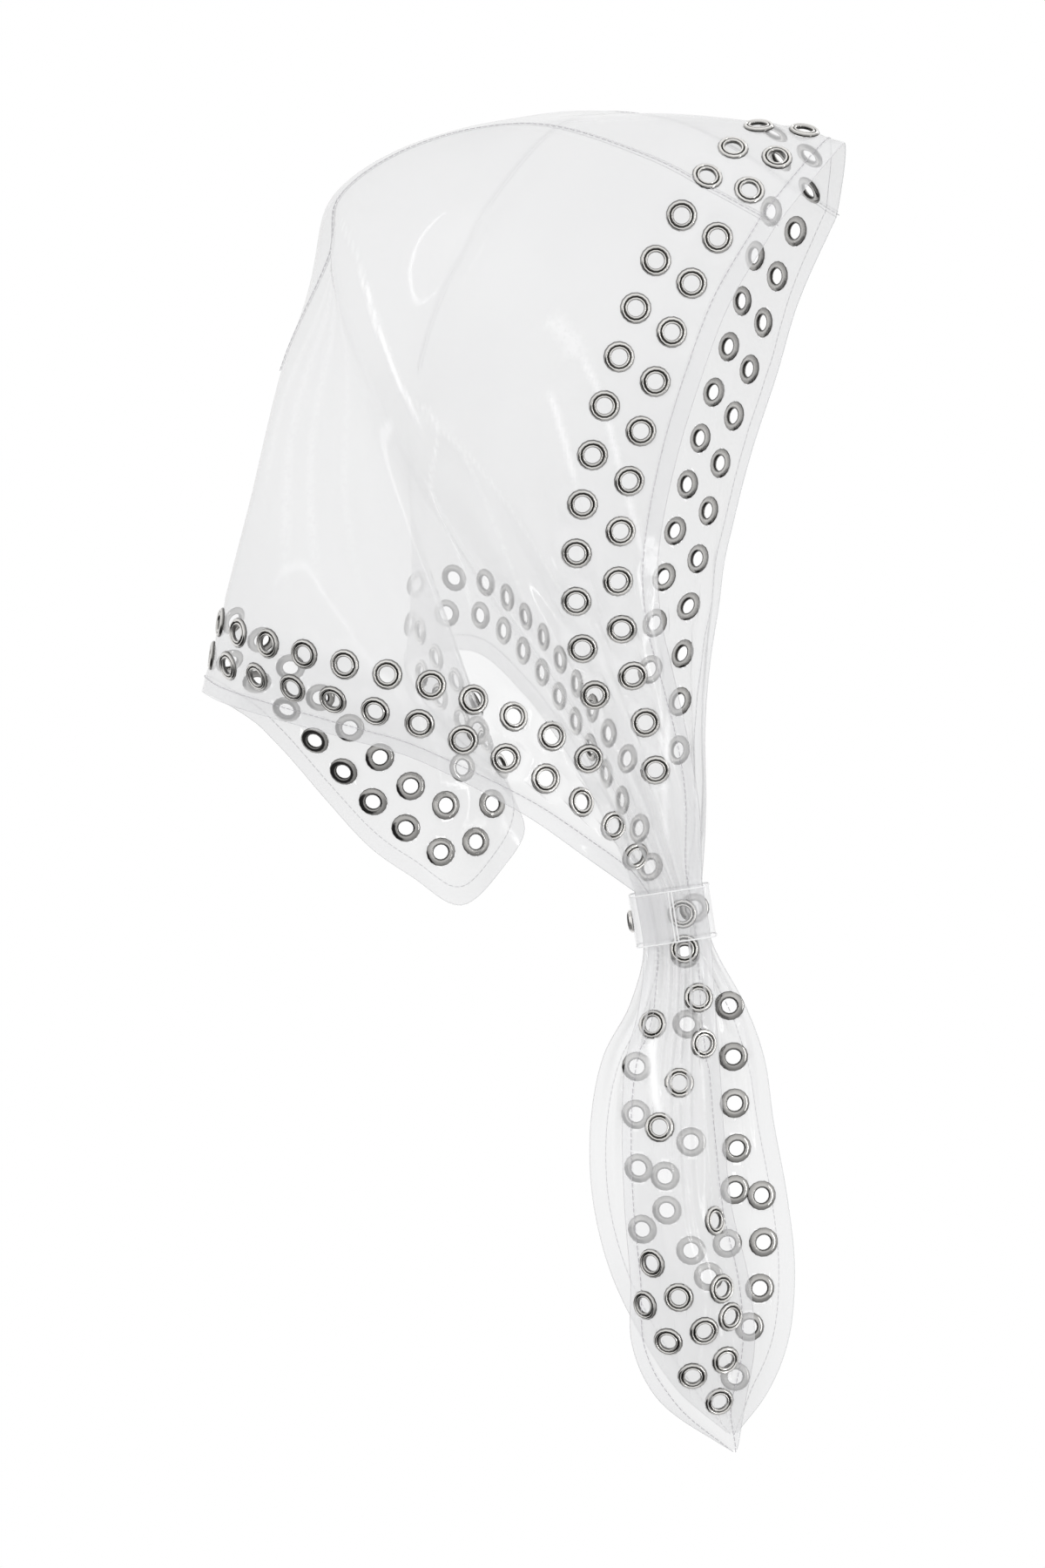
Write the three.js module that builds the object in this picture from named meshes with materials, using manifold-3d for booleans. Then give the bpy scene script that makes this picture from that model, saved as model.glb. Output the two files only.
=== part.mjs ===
// A clear film rain hood that closes like a scarf: a crown panel and two side panels, a keeper band that
// gathers them at the throat, two leaf-shaped scarf ends below it, a snap and a row of metal eyelets.
// Millimetres. X points the way the face looks, Y to the wearer's left, Z up. The origin is the inside
// of the crown, where the hood rests on the head.
import * as THREE from 'three';
import Module from 'manifold-3d';

const wasm = await Module();
wasm.setup();

const FILM_WALL = 1.2;
// each panel stops this far short of the seam that it shares with its neighbour
const SEAM_INSET = 1.3;
const FIT_GAP = 0.3;

const CROWN_ROWS = 20;
const CROWN_COLUMNS = 16;
const SIDE_ROWS = 15;
const SCARF_ROWS = 11;

const EYELET = { outer: 8, hole: 5, depth: 2.4, sides: 10, pitch: 24, fromEdge: 20 };
// where the eyelet row starts below the brow seam, and where it stops above the band
const ROW_START = 17;
const ROW_STOP = 62;
const VISOR_MARGIN = 13;
const TRACK_STEPS = 60;

// The keeper band: a flattened loop, turned about Z towards the right front and raised at its front end.
const BAND = { x: 54, y: 0, z: -385, width: 39, depth: 12, height: 25, wall: 1.2, corner: 2.5 };
const BAND_TURN = THREE.MathUtils.degToRad(25);
const BAND_TILT = THREE.MathUtils.degToRad(9);
// the gathered film inside the band: its width, and how far each panel lies from the middle
const STRIP = { width: 33, apart: 1.5, overrun: 2 };

const SNAP = { radius: 5.6, height: 2.6, edge: 0.9 };

// How far the side panels stand out over the ears, and the gathers that run into the band.
const SIDE_BOW = 7;
const GATHERS = { count: 2, depth: 3, from: 0.3, to: 0.68, end: 0.95 };

// The crown panel, from the visor's edge back over the head and down to the point at the back. Each row
// is one section: its right end, middle and left end, where the side panels join it. fullness is how
// square the section is (1 is a V, 2 a plain arch, 3 boxy).
const SECTIONS = [
  { name: 'brow', right: [122, -36, -54], middle: [139, 5, -14], left: [122, 36, -48], fullness: 2 },
  { name: 'visor', right: [100, -45, -41], middle: [111, 2, -6], left: [98, 44, -36], fullness: 2 },
  { name: 'front', right: [65, -57, -22], middle: [65, 0, -1], left: [61, 57, -16], fullness: 2.3 },
  { name: 'crown', right: [12, -70, -6], middle: [12, 0, 1], left: [12, 70, 2], fullness: 3 },
  { name: 'rear', right: [-40, -75, -14], middle: [-44, 0, -1], left: [-44, 75, 1], fullness: 3 },
  { name: 'bump', right: [-87, -77, -40], middle: [-114, 0, -36], left: [-87, 76, -38], fullness: 3 },
  { name: 'tuck', right: [-97, -67, -64], middle: [-132, 0, -74], left: [-97, 67, -63], fullness: 3 },
  { name: 'dart_end', right: [-127, -68, -117], middle: [-137, 0, -122], left: [-122, 68, -121], fullness: 2.4 },
  { name: 'nape', right: [-141, -80, -182], middle: [-114, 0, -205], left: [-141, 80, -185], fullness: 1.6 },
  { name: 'flute', right: [-160, -78, -238], middle: [-90, 10, -305], left: [-151, 91, -236], fullness: 1.2 },
  { name: 'hem', right: [-183, -60, -279], middle: [-73, 22, -390], left: [-159, 95, -290], fullness: 1 },
];

// The crown panel's back edge between the two flute tips: down to the point in the middle of the list,
// round the fold beside it and back up. The panel follows it more closely the nearer it comes to it.
const BACK_HEM = [
  [-183, -60, -279], [-172, -40, -289], [-157, -22, -311], [-137, -9, -339], [-117, 1, -364],
  [-97, 10, -381], [-73, 22, -390], [-58, 38, -377], [-54, 50, -355], [-71, 59, -337],
  [-98, 68, -325], [-130, 80, -306], [-159, 95, -290],
];
const BACK_HEM_PULL = { from: 0.7, power: 1.5 };

// The edge of the face opening below the brow, shared by both side panels: x, z and half width.
const FACE_EDGE = [
  { x: 100, z: -90, half: 39 },
  { x: 88, z: -122, half: 42 },
  { x: 74, z: -163, half: 41 },
  { x: 64, z: -206, half: 38 },
  { x: 62, z: -238, half: 31 },
  { x: 63, z: -262, half: 21 },
  { x: 66, z: -295, half: 10 },
  { x: 70, z: -330, half: 4 },
];

// The bottom edge of each side panel, from the flute at the back to the band.
const HEM = {
  right: [[-166, -78, -279], [-146, -91, -282], [-115, -99, -287], [-72, -97, -296], [-39, -88, -305],
    [6, -66, -330], [28, -44, -352]],
  left: [[-162, 106, -281], [-143, 115, -274], [-118, 114, -272], [-78, 92, -290], [-46, 70, -311],
    [-10, 42, -338], [18, 16, -360]],
};

// The scarf ends below the band. Each row is one level: z, how far the rear and front edges lie from the
// band's middle, and how far the rear edge, middle and front edge stand out to the right front.
const SCARF = {
  right: [
    { z: -431, rear: -16, front: 21, out: [4, 9, 4] },
    { z: -457, rear: -22, front: 23, out: [7, 16, 5] },
    { z: -490, rear: -24, front: 25, out: [10, 24, 6] },
    { z: -528, rear: -23, front: 29, out: [12, 27, 6] },
    { z: -565, rear: -20, front: 38, out: [13, 27, 7] },
    { z: -597, rear: -19, front: 41, out: [13, 23, 8] },
    { z: -624, rear: -6, front: 37, out: [12, 16, 8] },
    { z: -650, rear: 29.5, front: 33, out: [8, 8, 8] },
  ],
  left: [
    { z: -431, rear: -21, front: 36, out: [-6, -5, -5] },
    { z: -457, rear: -34, front: 45, out: [-10, -6, -9] },
    { z: -490, rear: -40, front: 50, out: [-13, -5, -12] },
    { z: -528, rear: -39, front: 57, out: [-12, -4, -14] },
    { z: -565, rear: -30, front: 61, out: [-9, -4, -13] },
    { z: -600, rear: -13, front: 58, out: [-7, -4, -10] },
    { z: -625, rear: 4, front: 48, out: [-5, -4, -6] },
    { z: -645, rear: 28, front: 33, out: [-3, -3, -3] },
  ],
};

const FILM = { color: '#e9ebec', roughness: 0.12, metalness: 0 };
const STEEL = { color: '#b9b4ac', roughness: 0.22, metalness: 1 };
const DARK_STEEL = { color: '#2a2826', roughness: 0.3, metalness: 1 };

const vector = (list) => new THREE.Vector3(...list);
const lineThrough = (points) => new THREE.CatmullRomCurve3(points, false, 'centripetal');

// The band's own directions: across runs from its rear end to its front end, out faces the right front.
const bandAxes = new THREE.Matrix4()
  .makeRotationZ(BAND_TURN)
  .multiply(new THREE.Matrix4().makeRotationY(-BAND_TILT));

function bandPoint(across, out, up) {
  return new THREE.Vector3(across, -out, up)
    .applyMatrix4(bandAxes)
    .add(new THREE.Vector3(BAND.x, BAND.y, BAND.z));
}

// A point at a level below the band, measured in the band's upright plane.
function throatPoint(across, out, z) {
  return new THREE.Vector3(across, -out, 0)
    .applyAxisAngle(new THREE.Vector3(0, 0, 1), BAND_TURN)
    .add(new THREE.Vector3(BAND.x, BAND.y, z));
}

const SIDE_SIGN = { right: -1, left: 1 };

const seamLine = {
  right: lineThrough(SECTIONS.map((row) => vector(row.right))),
  left: lineThrough(SECTIONS.map((row) => vector(row.left))),
};
const middleLine = lineThrough(SECTIONS.map((row) => vector(row.middle)));
const backHem = lineThrough(BACK_HEM.map(vector));

function fullnessAt(along) {
  const place = along * (SECTIONS.length - 1);
  const row = Math.min(Math.floor(place), SECTIONS.length - 2);
  return THREE.MathUtils.lerp(SECTIONS[row].fullness, SECTIONS[row + 1].fullness, place - row);
}

function sectionPoint(along, across) {
  const right = seamLine.right.getPoint(along);
  const left = seamLine.left.getPoint(along);
  const rise = middleLine.getPoint(along).sub(right.clone().lerp(left, 0.5));
  const arch = 1 - Math.abs(2 * across - 1) ** fullnessAt(along);
  return right.lerp(left, across).addScaledVector(rise, arch);
}

// The crown panel: along runs from the visor's edge (0) to the back point (1), across from right to left.
function crownPoint(along, across) {
  const { from, power } = BACK_HEM_PULL;
  const pull = Math.max(0, (along - from) / (1 - from)) ** power;
  const shift = backHem.getPoint(across).sub(sectionPoint(1, across));
  return sectionPoint(along, across).addScaledVector(shift, pull);
}

function stripCorner(side, across, up) {
  return bandPoint(across, -SIDE_SIGN[side] * STRIP.apart, up);
}

const stripTop = BAND.height / 2 + STRIP.overrun;

// The four boundary lines of a side panel above the band.
function sideBounds(side) {
  const sign = SIDE_SIGN[side];
  const brow = vector(SECTIONS[0][side]);
  const tip = vector(SECTIONS[SECTIONS.length - 1][side]);
  const face = FACE_EDGE.map(({ x, z, half }) => new THREE.Vector3(x, sign * half, z));
  const frontCorner = stripCorner(side, STRIP.width / 2, stripTop);
  const rearCorner = stripCorner(side, -STRIP.width / 2, stripTop);
  return {
    seam: seamLine[side],
    band: new THREE.LineCurve3(frontCorner, rearCorner),
    face: lineThrough([brow, ...face, frontCorner]),
    hem: lineThrough([tip, ...HEM[side].map(vector), rearCorner]),
  };
}

const bounds = { right: sideBounds('right'), left: sideBounds('left') };

function gatherAt(around, down) {
  const { smoothstep } = THREE.MathUtils;
  const fade = smoothstep(down, GATHERS.from, GATHERS.to) * (1 - smoothstep(down, GATHERS.to, GATHERS.end));
  return GATHERS.depth * fade * Math.sin(2 * Math.PI * GATHERS.count * around) * Math.sin(Math.PI * around);
}

// A side panel: around runs from the face opening (0) to the back hem (1), down from the seam to the band.
function sidePoint(side, around, down) {
  const { seam, band, face, hem } = bounds[side];
  const ruledDown = seam.getPoint(around).lerp(band.getPoint(around), down);
  const ruledAround = face.getPointAt(down).lerp(hem.getPointAt(down), around);
  const upperCorners = seam.getPoint(0).lerp(seam.getPoint(1), around);
  const lowerCorners = band.getPoint(0).lerp(band.getPoint(1), around);
  const bow = SIDE_BOW * Math.sin(Math.PI * around) * Math.sin(Math.PI * down) + gatherAt(around, down);
  return ruledDown
    .add(ruledAround)
    .sub(upperCorners.lerp(lowerCorners, down))
    .add(new THREE.Vector3(0, SIDE_SIGN[side] * bow, 0));
}

// The edges and middle of a scarf end, from the band's foot to its tip.
function scarfLines(side) {
  const rows = SCARF[side];
  const top = (across) => [stripCorner(side, across, stripTop), stripCorner(side, across, -stripTop)];
  const half = STRIP.width / 2;
  const below = (across, out) => rows.map((row) => throatPoint(across(row), out(row), row.z));
  return {
    front: lineThrough([...top(half), ...below((row) => row.front, (row) => row.out[2])]),
    middle: lineThrough([...top(0), ...below((row) => (row.front + row.rear) / 2, (row) => row.out[1])]),
    rear: lineThrough([...top(-half), ...below((row) => row.rear, (row) => row.out[0])]),
  };
}

const scarf = { right: scarfLines('right'), left: scarfLines('left') };

// A scarf end: around runs from its front edge (0) to its rear edge (1), down from the band's top.
function scarfPoint(side, around, down) {
  const front = scarf[side].front.getPoint(down);
  const rear = scarf[side].rear.getPoint(down);
  const rise = scarf[side].middle.getPoint(down).sub(front.clone().lerp(rear, 0.5));
  return front.lerp(rear, around).addScaledVector(rise, 4 * around * (1 - around));
}

function spread(count, start = 0, end = 1) {
  return Array.from({ length: count + 1 }, (_, i) => start + ((end - start) * i) / count);
}

function crownGrid() {
  const width = seamLine.right.getPoint(0.3).distanceTo(seamLine.left.getPoint(0.3));
  const inset = SEAM_INSET / width;
  const columns = spread(CROWN_COLUMNS, inset, 1 - inset);
  return spread(CROWN_ROWS).map((along) => columns.map((across) => crownPoint(along, across)));
}

function sideGrid(side) {
  const inset = SEAM_INSET / bounds[side].hem.getLength();
  const columns = spread(CROWN_ROWS);
  const panel = spread(SIDE_ROWS, inset, 1).map((down) => columns.map((u) => sidePoint(side, u, down)));
  const end = spread(SCARF_ROWS).slice(1).map((down) => columns.map((u) => scarfPoint(side, u, down)));
  return [...panel, ...end];
}

function gridNormal(grid, row, column) {
  const at = (r, c) => grid[THREE.MathUtils.clamp(r, 0, grid.length - 1)][
    THREE.MathUtils.clamp(c, 0, grid[0].length - 1)];
  const along = at(row + 1, column).clone().sub(at(row - 1, column));
  const across = at(row, column + 1).clone().sub(at(row, column - 1));
  return along.cross(across).normalize();
}

// A closed wall on both sides of a grid of points, with its faces pointing out.
function wallFrom(grid, wall) {
  const rows = grid.length;
  const columns = grid[0].length;
  const positions = [];
  for (const side of [0.5, -0.5]) {
    for (let r = 0; r < rows; r += 1) {
      for (let c = 0; c < columns; c += 1) {
        const point = grid[r][c].clone().addScaledVector(gridNormal(grid, r, c), side * wall);
        positions.push(...point.toArray());
      }
    }
  }
  const index = (layer, r, c) => layer * rows * columns + r * columns + c;
  const faces = [];
  const quad = (a, b, c, d) => faces.push(a, b, c, a, c, d);
  for (let r = 0; r < rows - 1; r += 1) {
    for (let c = 0; c < columns - 1; c += 1) {
      quad(index(0, r, c), index(0, r + 1, c), index(0, r + 1, c + 1), index(0, r, c + 1));
      quad(index(1, r, c), index(1, r, c + 1), index(1, r + 1, c + 1), index(1, r + 1, c));
    }
  }
  for (let r = 0; r < rows - 1; r += 1) {
    quad(index(0, r, 0), index(1, r, 0), index(1, r + 1, 0), index(0, r + 1, 0));
    quad(index(0, r + 1, columns - 1), index(1, r + 1, columns - 1), index(1, r, columns - 1),
      index(0, r, columns - 1));
  }
  for (let c = 0; c < columns - 1; c += 1) {
    quad(index(0, 0, c + 1), index(1, 0, c + 1), index(1, 0, c), index(0, 0, c));
    quad(index(0, rows - 1, c), index(1, rows - 1, c), index(1, rows - 1, c + 1), index(0, rows - 1, c + 1));
  }
  const geometry = new THREE.BufferGeometry();
  geometry.setAttribute('position', new THREE.Float32BufferAttribute(positions, 3));
  geometry.setIndex(faces);
  return geometry;
}

function solidFrom(geometry) {
  const vertProperties = new Float32Array(geometry.getAttribute('position').array);
  const triVerts = new Uint32Array(geometry.getIndex().array);
  return new wasm.Manifold(new wasm.Mesh({ numProp: 3, vertProperties, triVerts }));
}

function geometryFrom(solid) {
  const mesh = solid.getMesh();
  const geometry = new THREE.BufferGeometry();
  geometry.setAttribute('position', new THREE.Float32BufferAttribute(mesh.vertProperties, 3));
  geometry.setIndex([...mesh.triVerts]);
  geometry.computeVertexNormals();
  return geometry;
}

// The row of places that keeps a distance from an edge of a surface. surface(along, inward) is a point
// and inward is 0 on the edge.
function trackInside(surface, distance) {
  const edge = spread(TRACK_STEPS * 2).map((along) => surface(along, 0));
  const clearOf = (point) => Math.min(...edge.map((other) => other.distanceTo(point)));
  return spread(TRACK_STEPS).map((along) => {
    let inward = 0;
    while (inward < 1 && clearOf(surface(along, inward)) < distance) inward += 0.004;
    return { along, inward, point: surface(along, inward) };
  });
}

// Evenly spaced places on a track, each with the surface's normal there.
function spotsOn(surface, track, startMargin, endMargin) {
  const lengths = [0];
  for (let i = 1; i < track.length; i += 1) {
    lengths.push(lengths[i - 1] + track[i].point.distanceTo(track[i - 1].point));
  }
  const run = lengths[lengths.length - 1] - startMargin - endMargin;
  return spread(Math.round(run / EYELET.pitch)).map((share) => {
    const wanted = startMargin + share * run;
    const next = Math.max(1, lengths.findIndex((length) => length >= wanted));
    const mix = (wanted - lengths[next - 1]) / (lengths[next] - lengths[next - 1]);
    const along = THREE.MathUtils.lerp(track[next - 1].along, track[next].along, mix);
    const inward = THREE.MathUtils.lerp(track[next - 1].inward, track[next].inward, mix);
    const step = 0.02;
    const alongTangent = surface(along + step, inward).sub(surface(along - step, inward));
    const inwardTangent = surface(along, inward + step).sub(surface(along, Math.max(0, inward - step)));
    return { point: surface(along, inward), normal: alongTangent.cross(inwardTangent).normalize() };
  });
}

function eyeletSpots() {
  const visor = (along, inward) => crownPoint(inward, THREE.MathUtils.clamp(along, 0, 1));
  const faceOf = (side) => (along, inward) => sidePoint(side, inward, THREE.MathUtils.clamp(along, 0, 1));
  const sideRow = (side) => {
    const surface = faceOf(side);
    return spotsOn(surface, trackInside(surface, EYELET.fromEdge), ROW_START, ROW_STOP);
  };
  return {
    right: sideRow('right'),
    crown: spotsOn(visor, trackInside(visor, EYELET.fromEdge), VISOR_MARGIN, VISOR_MARGIN),
    left: sideRow('left'),
  };
}

// A disc or ring about its own Z axis, laid on a spot of the film.
function laidOn(geometry, spot) {
  const turn = new THREE.Quaternion().setFromUnitVectors(new THREE.Vector3(0, 0, 1), spot.normal);
  return geometry.clone().applyQuaternion(turn).translate(...spot.point.toArray());
}

function ringGeometry(hole, outer, depth) {
  const half = depth / 2;
  const profile = [[hole, -half], [outer, -half], [outer, half], [hole, half], [hole, -half]];
  return new THREE.LatheGeometry(profile.map(([r, z]) => new THREE.Vector2(r, z)), EYELET.sides)
    .rotateX(Math.PI / 2);
}

// A solid peg that cuts the place of one eyelet out of a panel, made of shared corners that line up
// with the ring's.
function pegGeometry(radius, depth) {
  const points = [new THREE.Vector3(0, 0, -depth), new THREE.Vector3(0, 0, depth)];
  const faces = [];
  for (let i = 0; i < EYELET.sides; i += 1) {
    const angle = Math.PI / 2 + (2 * Math.PI * i) / EYELET.sides;
    points.push(new THREE.Vector3(radius * Math.cos(angle), radius * Math.sin(angle), -depth));
    points.push(new THREE.Vector3(radius * Math.cos(angle), radius * Math.sin(angle), depth));
    const low = 2 + 2 * i;
    const nextLow = 2 + 2 * ((i + 1) % EYELET.sides);
    faces.push(0, nextLow, low, 1, low + 1, nextLow + 1);
    faces.push(low, nextLow, nextLow + 1, low, nextLow + 1, low + 1);
  }
  const geometry = new THREE.BufferGeometry();
  geometry.setAttribute('position', new THREE.Float32BufferAttribute(points.flatMap((p) => p.toArray()), 3));
  geometry.setIndex(faces);
  return geometry;
}

function panelGeometry(grid, spots) {
  // a regular ring's flat sides lie nearer its axis than its corners do
  const cutRadius = EYELET.outer + FIT_GAP / Math.cos(Math.PI / EYELET.sides);
  const peg = pegGeometry(cutRadius, EYELET.depth * 2);
  let panel = solidFrom(wallFrom(grid, FILM_WALL));
  for (const spot of spots) panel = panel.subtract(solidFrom(laidOn(peg, spot)));
  return geometryFrom(panel);
}

function roundedLoop(shape, width, depth, corner) {
  const x = width / 2;
  const y = depth / 2;
  shape.moveTo(x - corner, -y);
  shape.absarc(x - corner, -y + corner, corner, -Math.PI / 2, 0);
  shape.absarc(x - corner, y - corner, corner, 0, Math.PI / 2);
  shape.absarc(-x + corner, y - corner, corner, Math.PI / 2, Math.PI);
  shape.absarc(-x + corner, -y + corner, corner, Math.PI, 1.5 * Math.PI);
  shape.closePath();
  return shape;
}

function bandGeometry() {
  const { width, depth, height, wall, corner } = BAND;
  const outline = roundedLoop(new THREE.Shape(), width, depth, corner);
  outline.holes.push(roundedLoop(new THREE.Path(), width - 2 * wall, depth - 2 * wall, corner - wall));
  return new THREE.ExtrudeGeometry(outline, { depth: height, bevelEnabled: false, curveSegments: 4 })
    .translate(0, 0, -height / 2)
    .applyMatrix4(bandAxes)
    .translate(BAND.x, BAND.y, BAND.z);
}

// The snap's cap: a shallow dome on the rear end of the band.
function snapGeometry() {
  const { radius, height, edge } = SNAP;
  const profile = [[0, 0], [radius, 0], [radius, edge], [radius * 0.72, height * 0.82], [0, height]];
  return new THREE.LatheGeometry(profile.map(([r, z]) => new THREE.Vector2(r, z)), 20)
    .rotateZ(Math.PI / 2)
    .translate(-BAND.width / 2 - FIT_GAP, 0, 0)
    .applyMatrix4(bandAxes)
    .translate(BAND.x, BAND.y, BAND.z);
}

function named(name, geometry, finish) {
  const mesh = new THREE.Mesh(geometry, new THREE.MeshStandardMaterial({ ...finish, side: THREE.DoubleSide }));
  mesh.name = name;
  return mesh;
}

function rainHood() {
  const hood = new THREE.Group();
  const spots = eyeletSpots();
  hood.add(named('crown_panel', panelGeometry(crownGrid(), spots.crown), FILM));
  hood.add(named('right_side_panel', panelGeometry(sideGrid('right'), spots.right), FILM));
  hood.add(named('left_side_panel', panelGeometry(sideGrid('left'), spots.left), FILM));
  hood.add(named('keeper_band', bandGeometry(), FILM));
  hood.add(named('snap_cap', snapGeometry(), DARK_STEEL));
  const ring = ringGeometry(EYELET.hole, EYELET.outer, EYELET.depth);
  for (const [panel, places] of Object.entries(spots)) {
    places.forEach((spot, i) => {
      hood.add(named(`eyelet_${panel}_${String(i + 1).padStart(2, '0')}`, laidOn(ring, spot), STEEL));
    });
  }
  return hood;
}

export default rainHood();
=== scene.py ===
"""A clear film rain hood that closes like a scarf, with eyelets along its edges. Metres."""
import functools
import math

import bpy
import numpy as np
from mathutils import Matrix, Vector


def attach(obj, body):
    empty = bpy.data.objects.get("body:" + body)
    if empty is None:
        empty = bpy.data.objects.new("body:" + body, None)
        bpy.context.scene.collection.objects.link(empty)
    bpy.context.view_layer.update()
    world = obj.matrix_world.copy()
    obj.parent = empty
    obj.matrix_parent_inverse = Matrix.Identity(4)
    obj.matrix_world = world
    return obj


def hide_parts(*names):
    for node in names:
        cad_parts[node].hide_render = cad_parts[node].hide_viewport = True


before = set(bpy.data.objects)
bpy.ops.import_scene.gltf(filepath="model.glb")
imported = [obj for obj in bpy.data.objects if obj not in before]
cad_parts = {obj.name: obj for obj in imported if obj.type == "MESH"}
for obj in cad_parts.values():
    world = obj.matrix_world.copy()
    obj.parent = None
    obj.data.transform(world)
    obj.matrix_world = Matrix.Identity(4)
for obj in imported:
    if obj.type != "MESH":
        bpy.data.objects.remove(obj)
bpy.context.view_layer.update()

bl_info = {
    "name": "Rain Hood",
    "version": (1, 0, 0),
    "blender": (4, 5, 0),
    "location": "View3D > Sidebar > Rain Hood",
    "description": "Makes a clear film rain hood with eyelets, a keeper band and its studio stage",
    "category": "Object",
}

MM = 0.001


def named_rows(names, rows):
    """The rows of a list as dictionaries, with one name for each place in a row."""
    return [dict(zip(names.split(), row)) for row in rows]


# The crown panel's sections from the visor's edge back over the head to the point: the ends where the
# side panels join it, its middle, and how square it is (1 is a V, 2 a plain arch, 3 boxy).
SECTIONS = named_rows("right middle left full", [
    ((0.122, -0.036, -0.054), (0.139, 0.005, -0.014), (0.122, 0.036, -0.048), 1.25),
    ((0.100, -0.045, -0.041), (0.111, 0.002, -0.006), (0.098, 0.044, -0.036), 1.35),
    ((0.065, -0.057, -0.022), (0.065, 0, -0.001), (0.061, 0.057, -0.016), 1.9),
    ((0.012, -0.070, -0.006), (0.012, 0, 0.001), (0.012, 0.070, 0.002), 3),
    ((-0.040, -0.075, -0.014), (-0.044, 0, -0.001), (-0.044, 0.075, 0.001), 3),
    ((-0.087, -0.077, -0.040), (-0.114, 0, -0.036), (-0.087, 0.076, -0.038), 3),
    ((-0.097, -0.067, -0.064), (-0.132, 0, -0.074), (-0.097, 0.067, -0.063), 3),
    ((-0.127, -0.068, -0.117), (-0.137, 0, -0.122), (-0.122, 0.068, -0.121), 2.4),
    ((-0.141, -0.080, -0.182), (-0.114, 0, -0.205), (-0.141, 0.080, -0.185), 1.6),
    ((-0.160, -0.078, -0.238), (-0.090, 0.010, -0.305), (-0.151, 0.091, -0.236), 1.2),
    ((-0.183, -0.060, -0.279), (-0.073, 0.022, -0.390), (-0.159, 0.095, -0.290), 1),
])
# The share of the seam line, from the brow, at which the sewn seams end.
SEAM_END = 0.7
# How the fold below the seams' ends is rounded: over how many grid rows to each side, within how many of
# them fully, how far before and after the seams' ends it sets in, in how many passes and how strongly.
FLUTES = {"rows": 12, "full_rows": 4, "before": 0.1, "after": 0.05, "passes": 60, "pull": 0.9}

# The crown panel's back edge, from the right flute's tip by the point to the left flute's tip.
BACK_HEM = [
    (-0.183, -0.060, -0.279), (-0.172, -0.040, -0.289), (-0.157, -0.022, -0.311), (-0.137, -0.009, -0.339),
    (-0.117, 0.001, -0.363), (-0.097, 0.010, -0.378), (-0.075, 0.020, -0.392), (-0.060, 0.037, -0.374),
    (-0.054, 0.050, -0.355), (-0.071, 0.059, -0.337), (-0.098, 0.068, -0.325), (-0.130, 0.080, -0.306),
    (-0.159, 0.095, -0.290),
]
# The crown panel is drawn to that edge from this share of its length on, slowly at first.
BACK_HEM_FROM = 0.7
BACK_HEM_POWER = 1.5

# The edge of the face opening below the brow: its place, its level and half its width.
FACE_EDGE = named_rows("x z half", [
    (0.100, -0.090, 0.039),
    (0.088, -0.122, 0.042),
    (0.074, -0.163, 0.041),
    (0.064, -0.206, 0.038),
    (0.062, -0.238, 0.031),
    (0.063, -0.262, 0.021),
    (0.066, -0.295, 0.010),
    (0.070, -0.330, 0.004),
])

# The side panels' bottom edges, from the flute at the back to the band.
HEM = {
    "right": [(-0.166, -0.078, -0.279), (-0.146, -0.091, -0.282), (-0.115, -0.099, -0.287),
              (-0.072, -0.097, -0.296), (-0.039, -0.088, -0.305), (0.006, -0.066, -0.330),
              (0.028, -0.044, -0.352)],
    "left": [(-0.162, 0.106, -0.281), (-0.143, 0.115, -0.274), (-0.118, 0.114, -0.272),
             (-0.078, 0.092, -0.290), (-0.046, 0.070, -0.311), (-0.010, 0.042, -0.338),
             (0.018, 0.016, -0.360)],
}

# The scarf ends: the level, the rear and front edges' places across the band's plane, and how far the
# rear edge, middle and front edge stand out from that plane.
SCARF = {
    "right": named_rows("z rear front out", [
        (-0.431, -0.016, 0.021, (0.004, 0.009, 0.004)),
        (-0.457, -0.022, 0.023, (0.007, 0.016, 0.005)),
        (-0.490, -0.024, 0.025, (0.010, 0.024, 0.006)),
        (-0.528, -0.023, 0.029, (0.012, 0.027, 0.006)),
        (-0.565, -0.020, 0.038, (0.013, 0.027, 0.007)),
        (-0.597, -0.019, 0.041, (0.013, 0.023, 0.008)),
        (-0.624, -0.006, 0.037, (0.012, 0.016, 0.008)),
        (-0.650, 0.0295, 0.033, (0.008, 0.008, 0.008)),
    ]),
    "left": named_rows("z rear front out", [
        (-0.431, -0.021, 0.036, (-0.006, -0.005, -0.005)),
        (-0.457, -0.034, 0.045, (-0.010, -0.006, -0.009)),
        (-0.490, -0.040, 0.050, (-0.013, -0.005, -0.012)),
        (-0.528, -0.039, 0.057, (-0.012, -0.004, -0.014)),
        (-0.565, -0.030, 0.061, (-0.009, -0.004, -0.013)),
        (-0.600, -0.013, 0.058, (-0.007, -0.004, -0.010)),
        (-0.625, 0.004, 0.048, (-0.005, -0.004, -0.006)),
        (-0.645, 0.028, 0.033, (-0.003, -0.003, -0.003)),
    ]),
}

# The keeper band: a flattened loop of film, turned towards the right front and raised at its front end.
BAND = {"at": (0.054, 0, -0.385), "width": 0.039, "depth": 0.012, "height": 0.025, "corner": 0.0025}
BAND_TURN = math.radians(25)
BAND_TILT = math.radians(9)
# Steps round each corner of the band, points round it and up its height, and how much thinner it is at
# half its height.
BAND_CORNER_STEPS = 6
BAND_AROUND = 96
BAND_LEVELS = 13
BAND_BELLY = 0.05
# The band's second layer, where it overlaps itself: how far it stands off and where it lies across.
FLAP = {"lift": 0.0004, "across": (-0.02, 0.0)}
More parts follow.
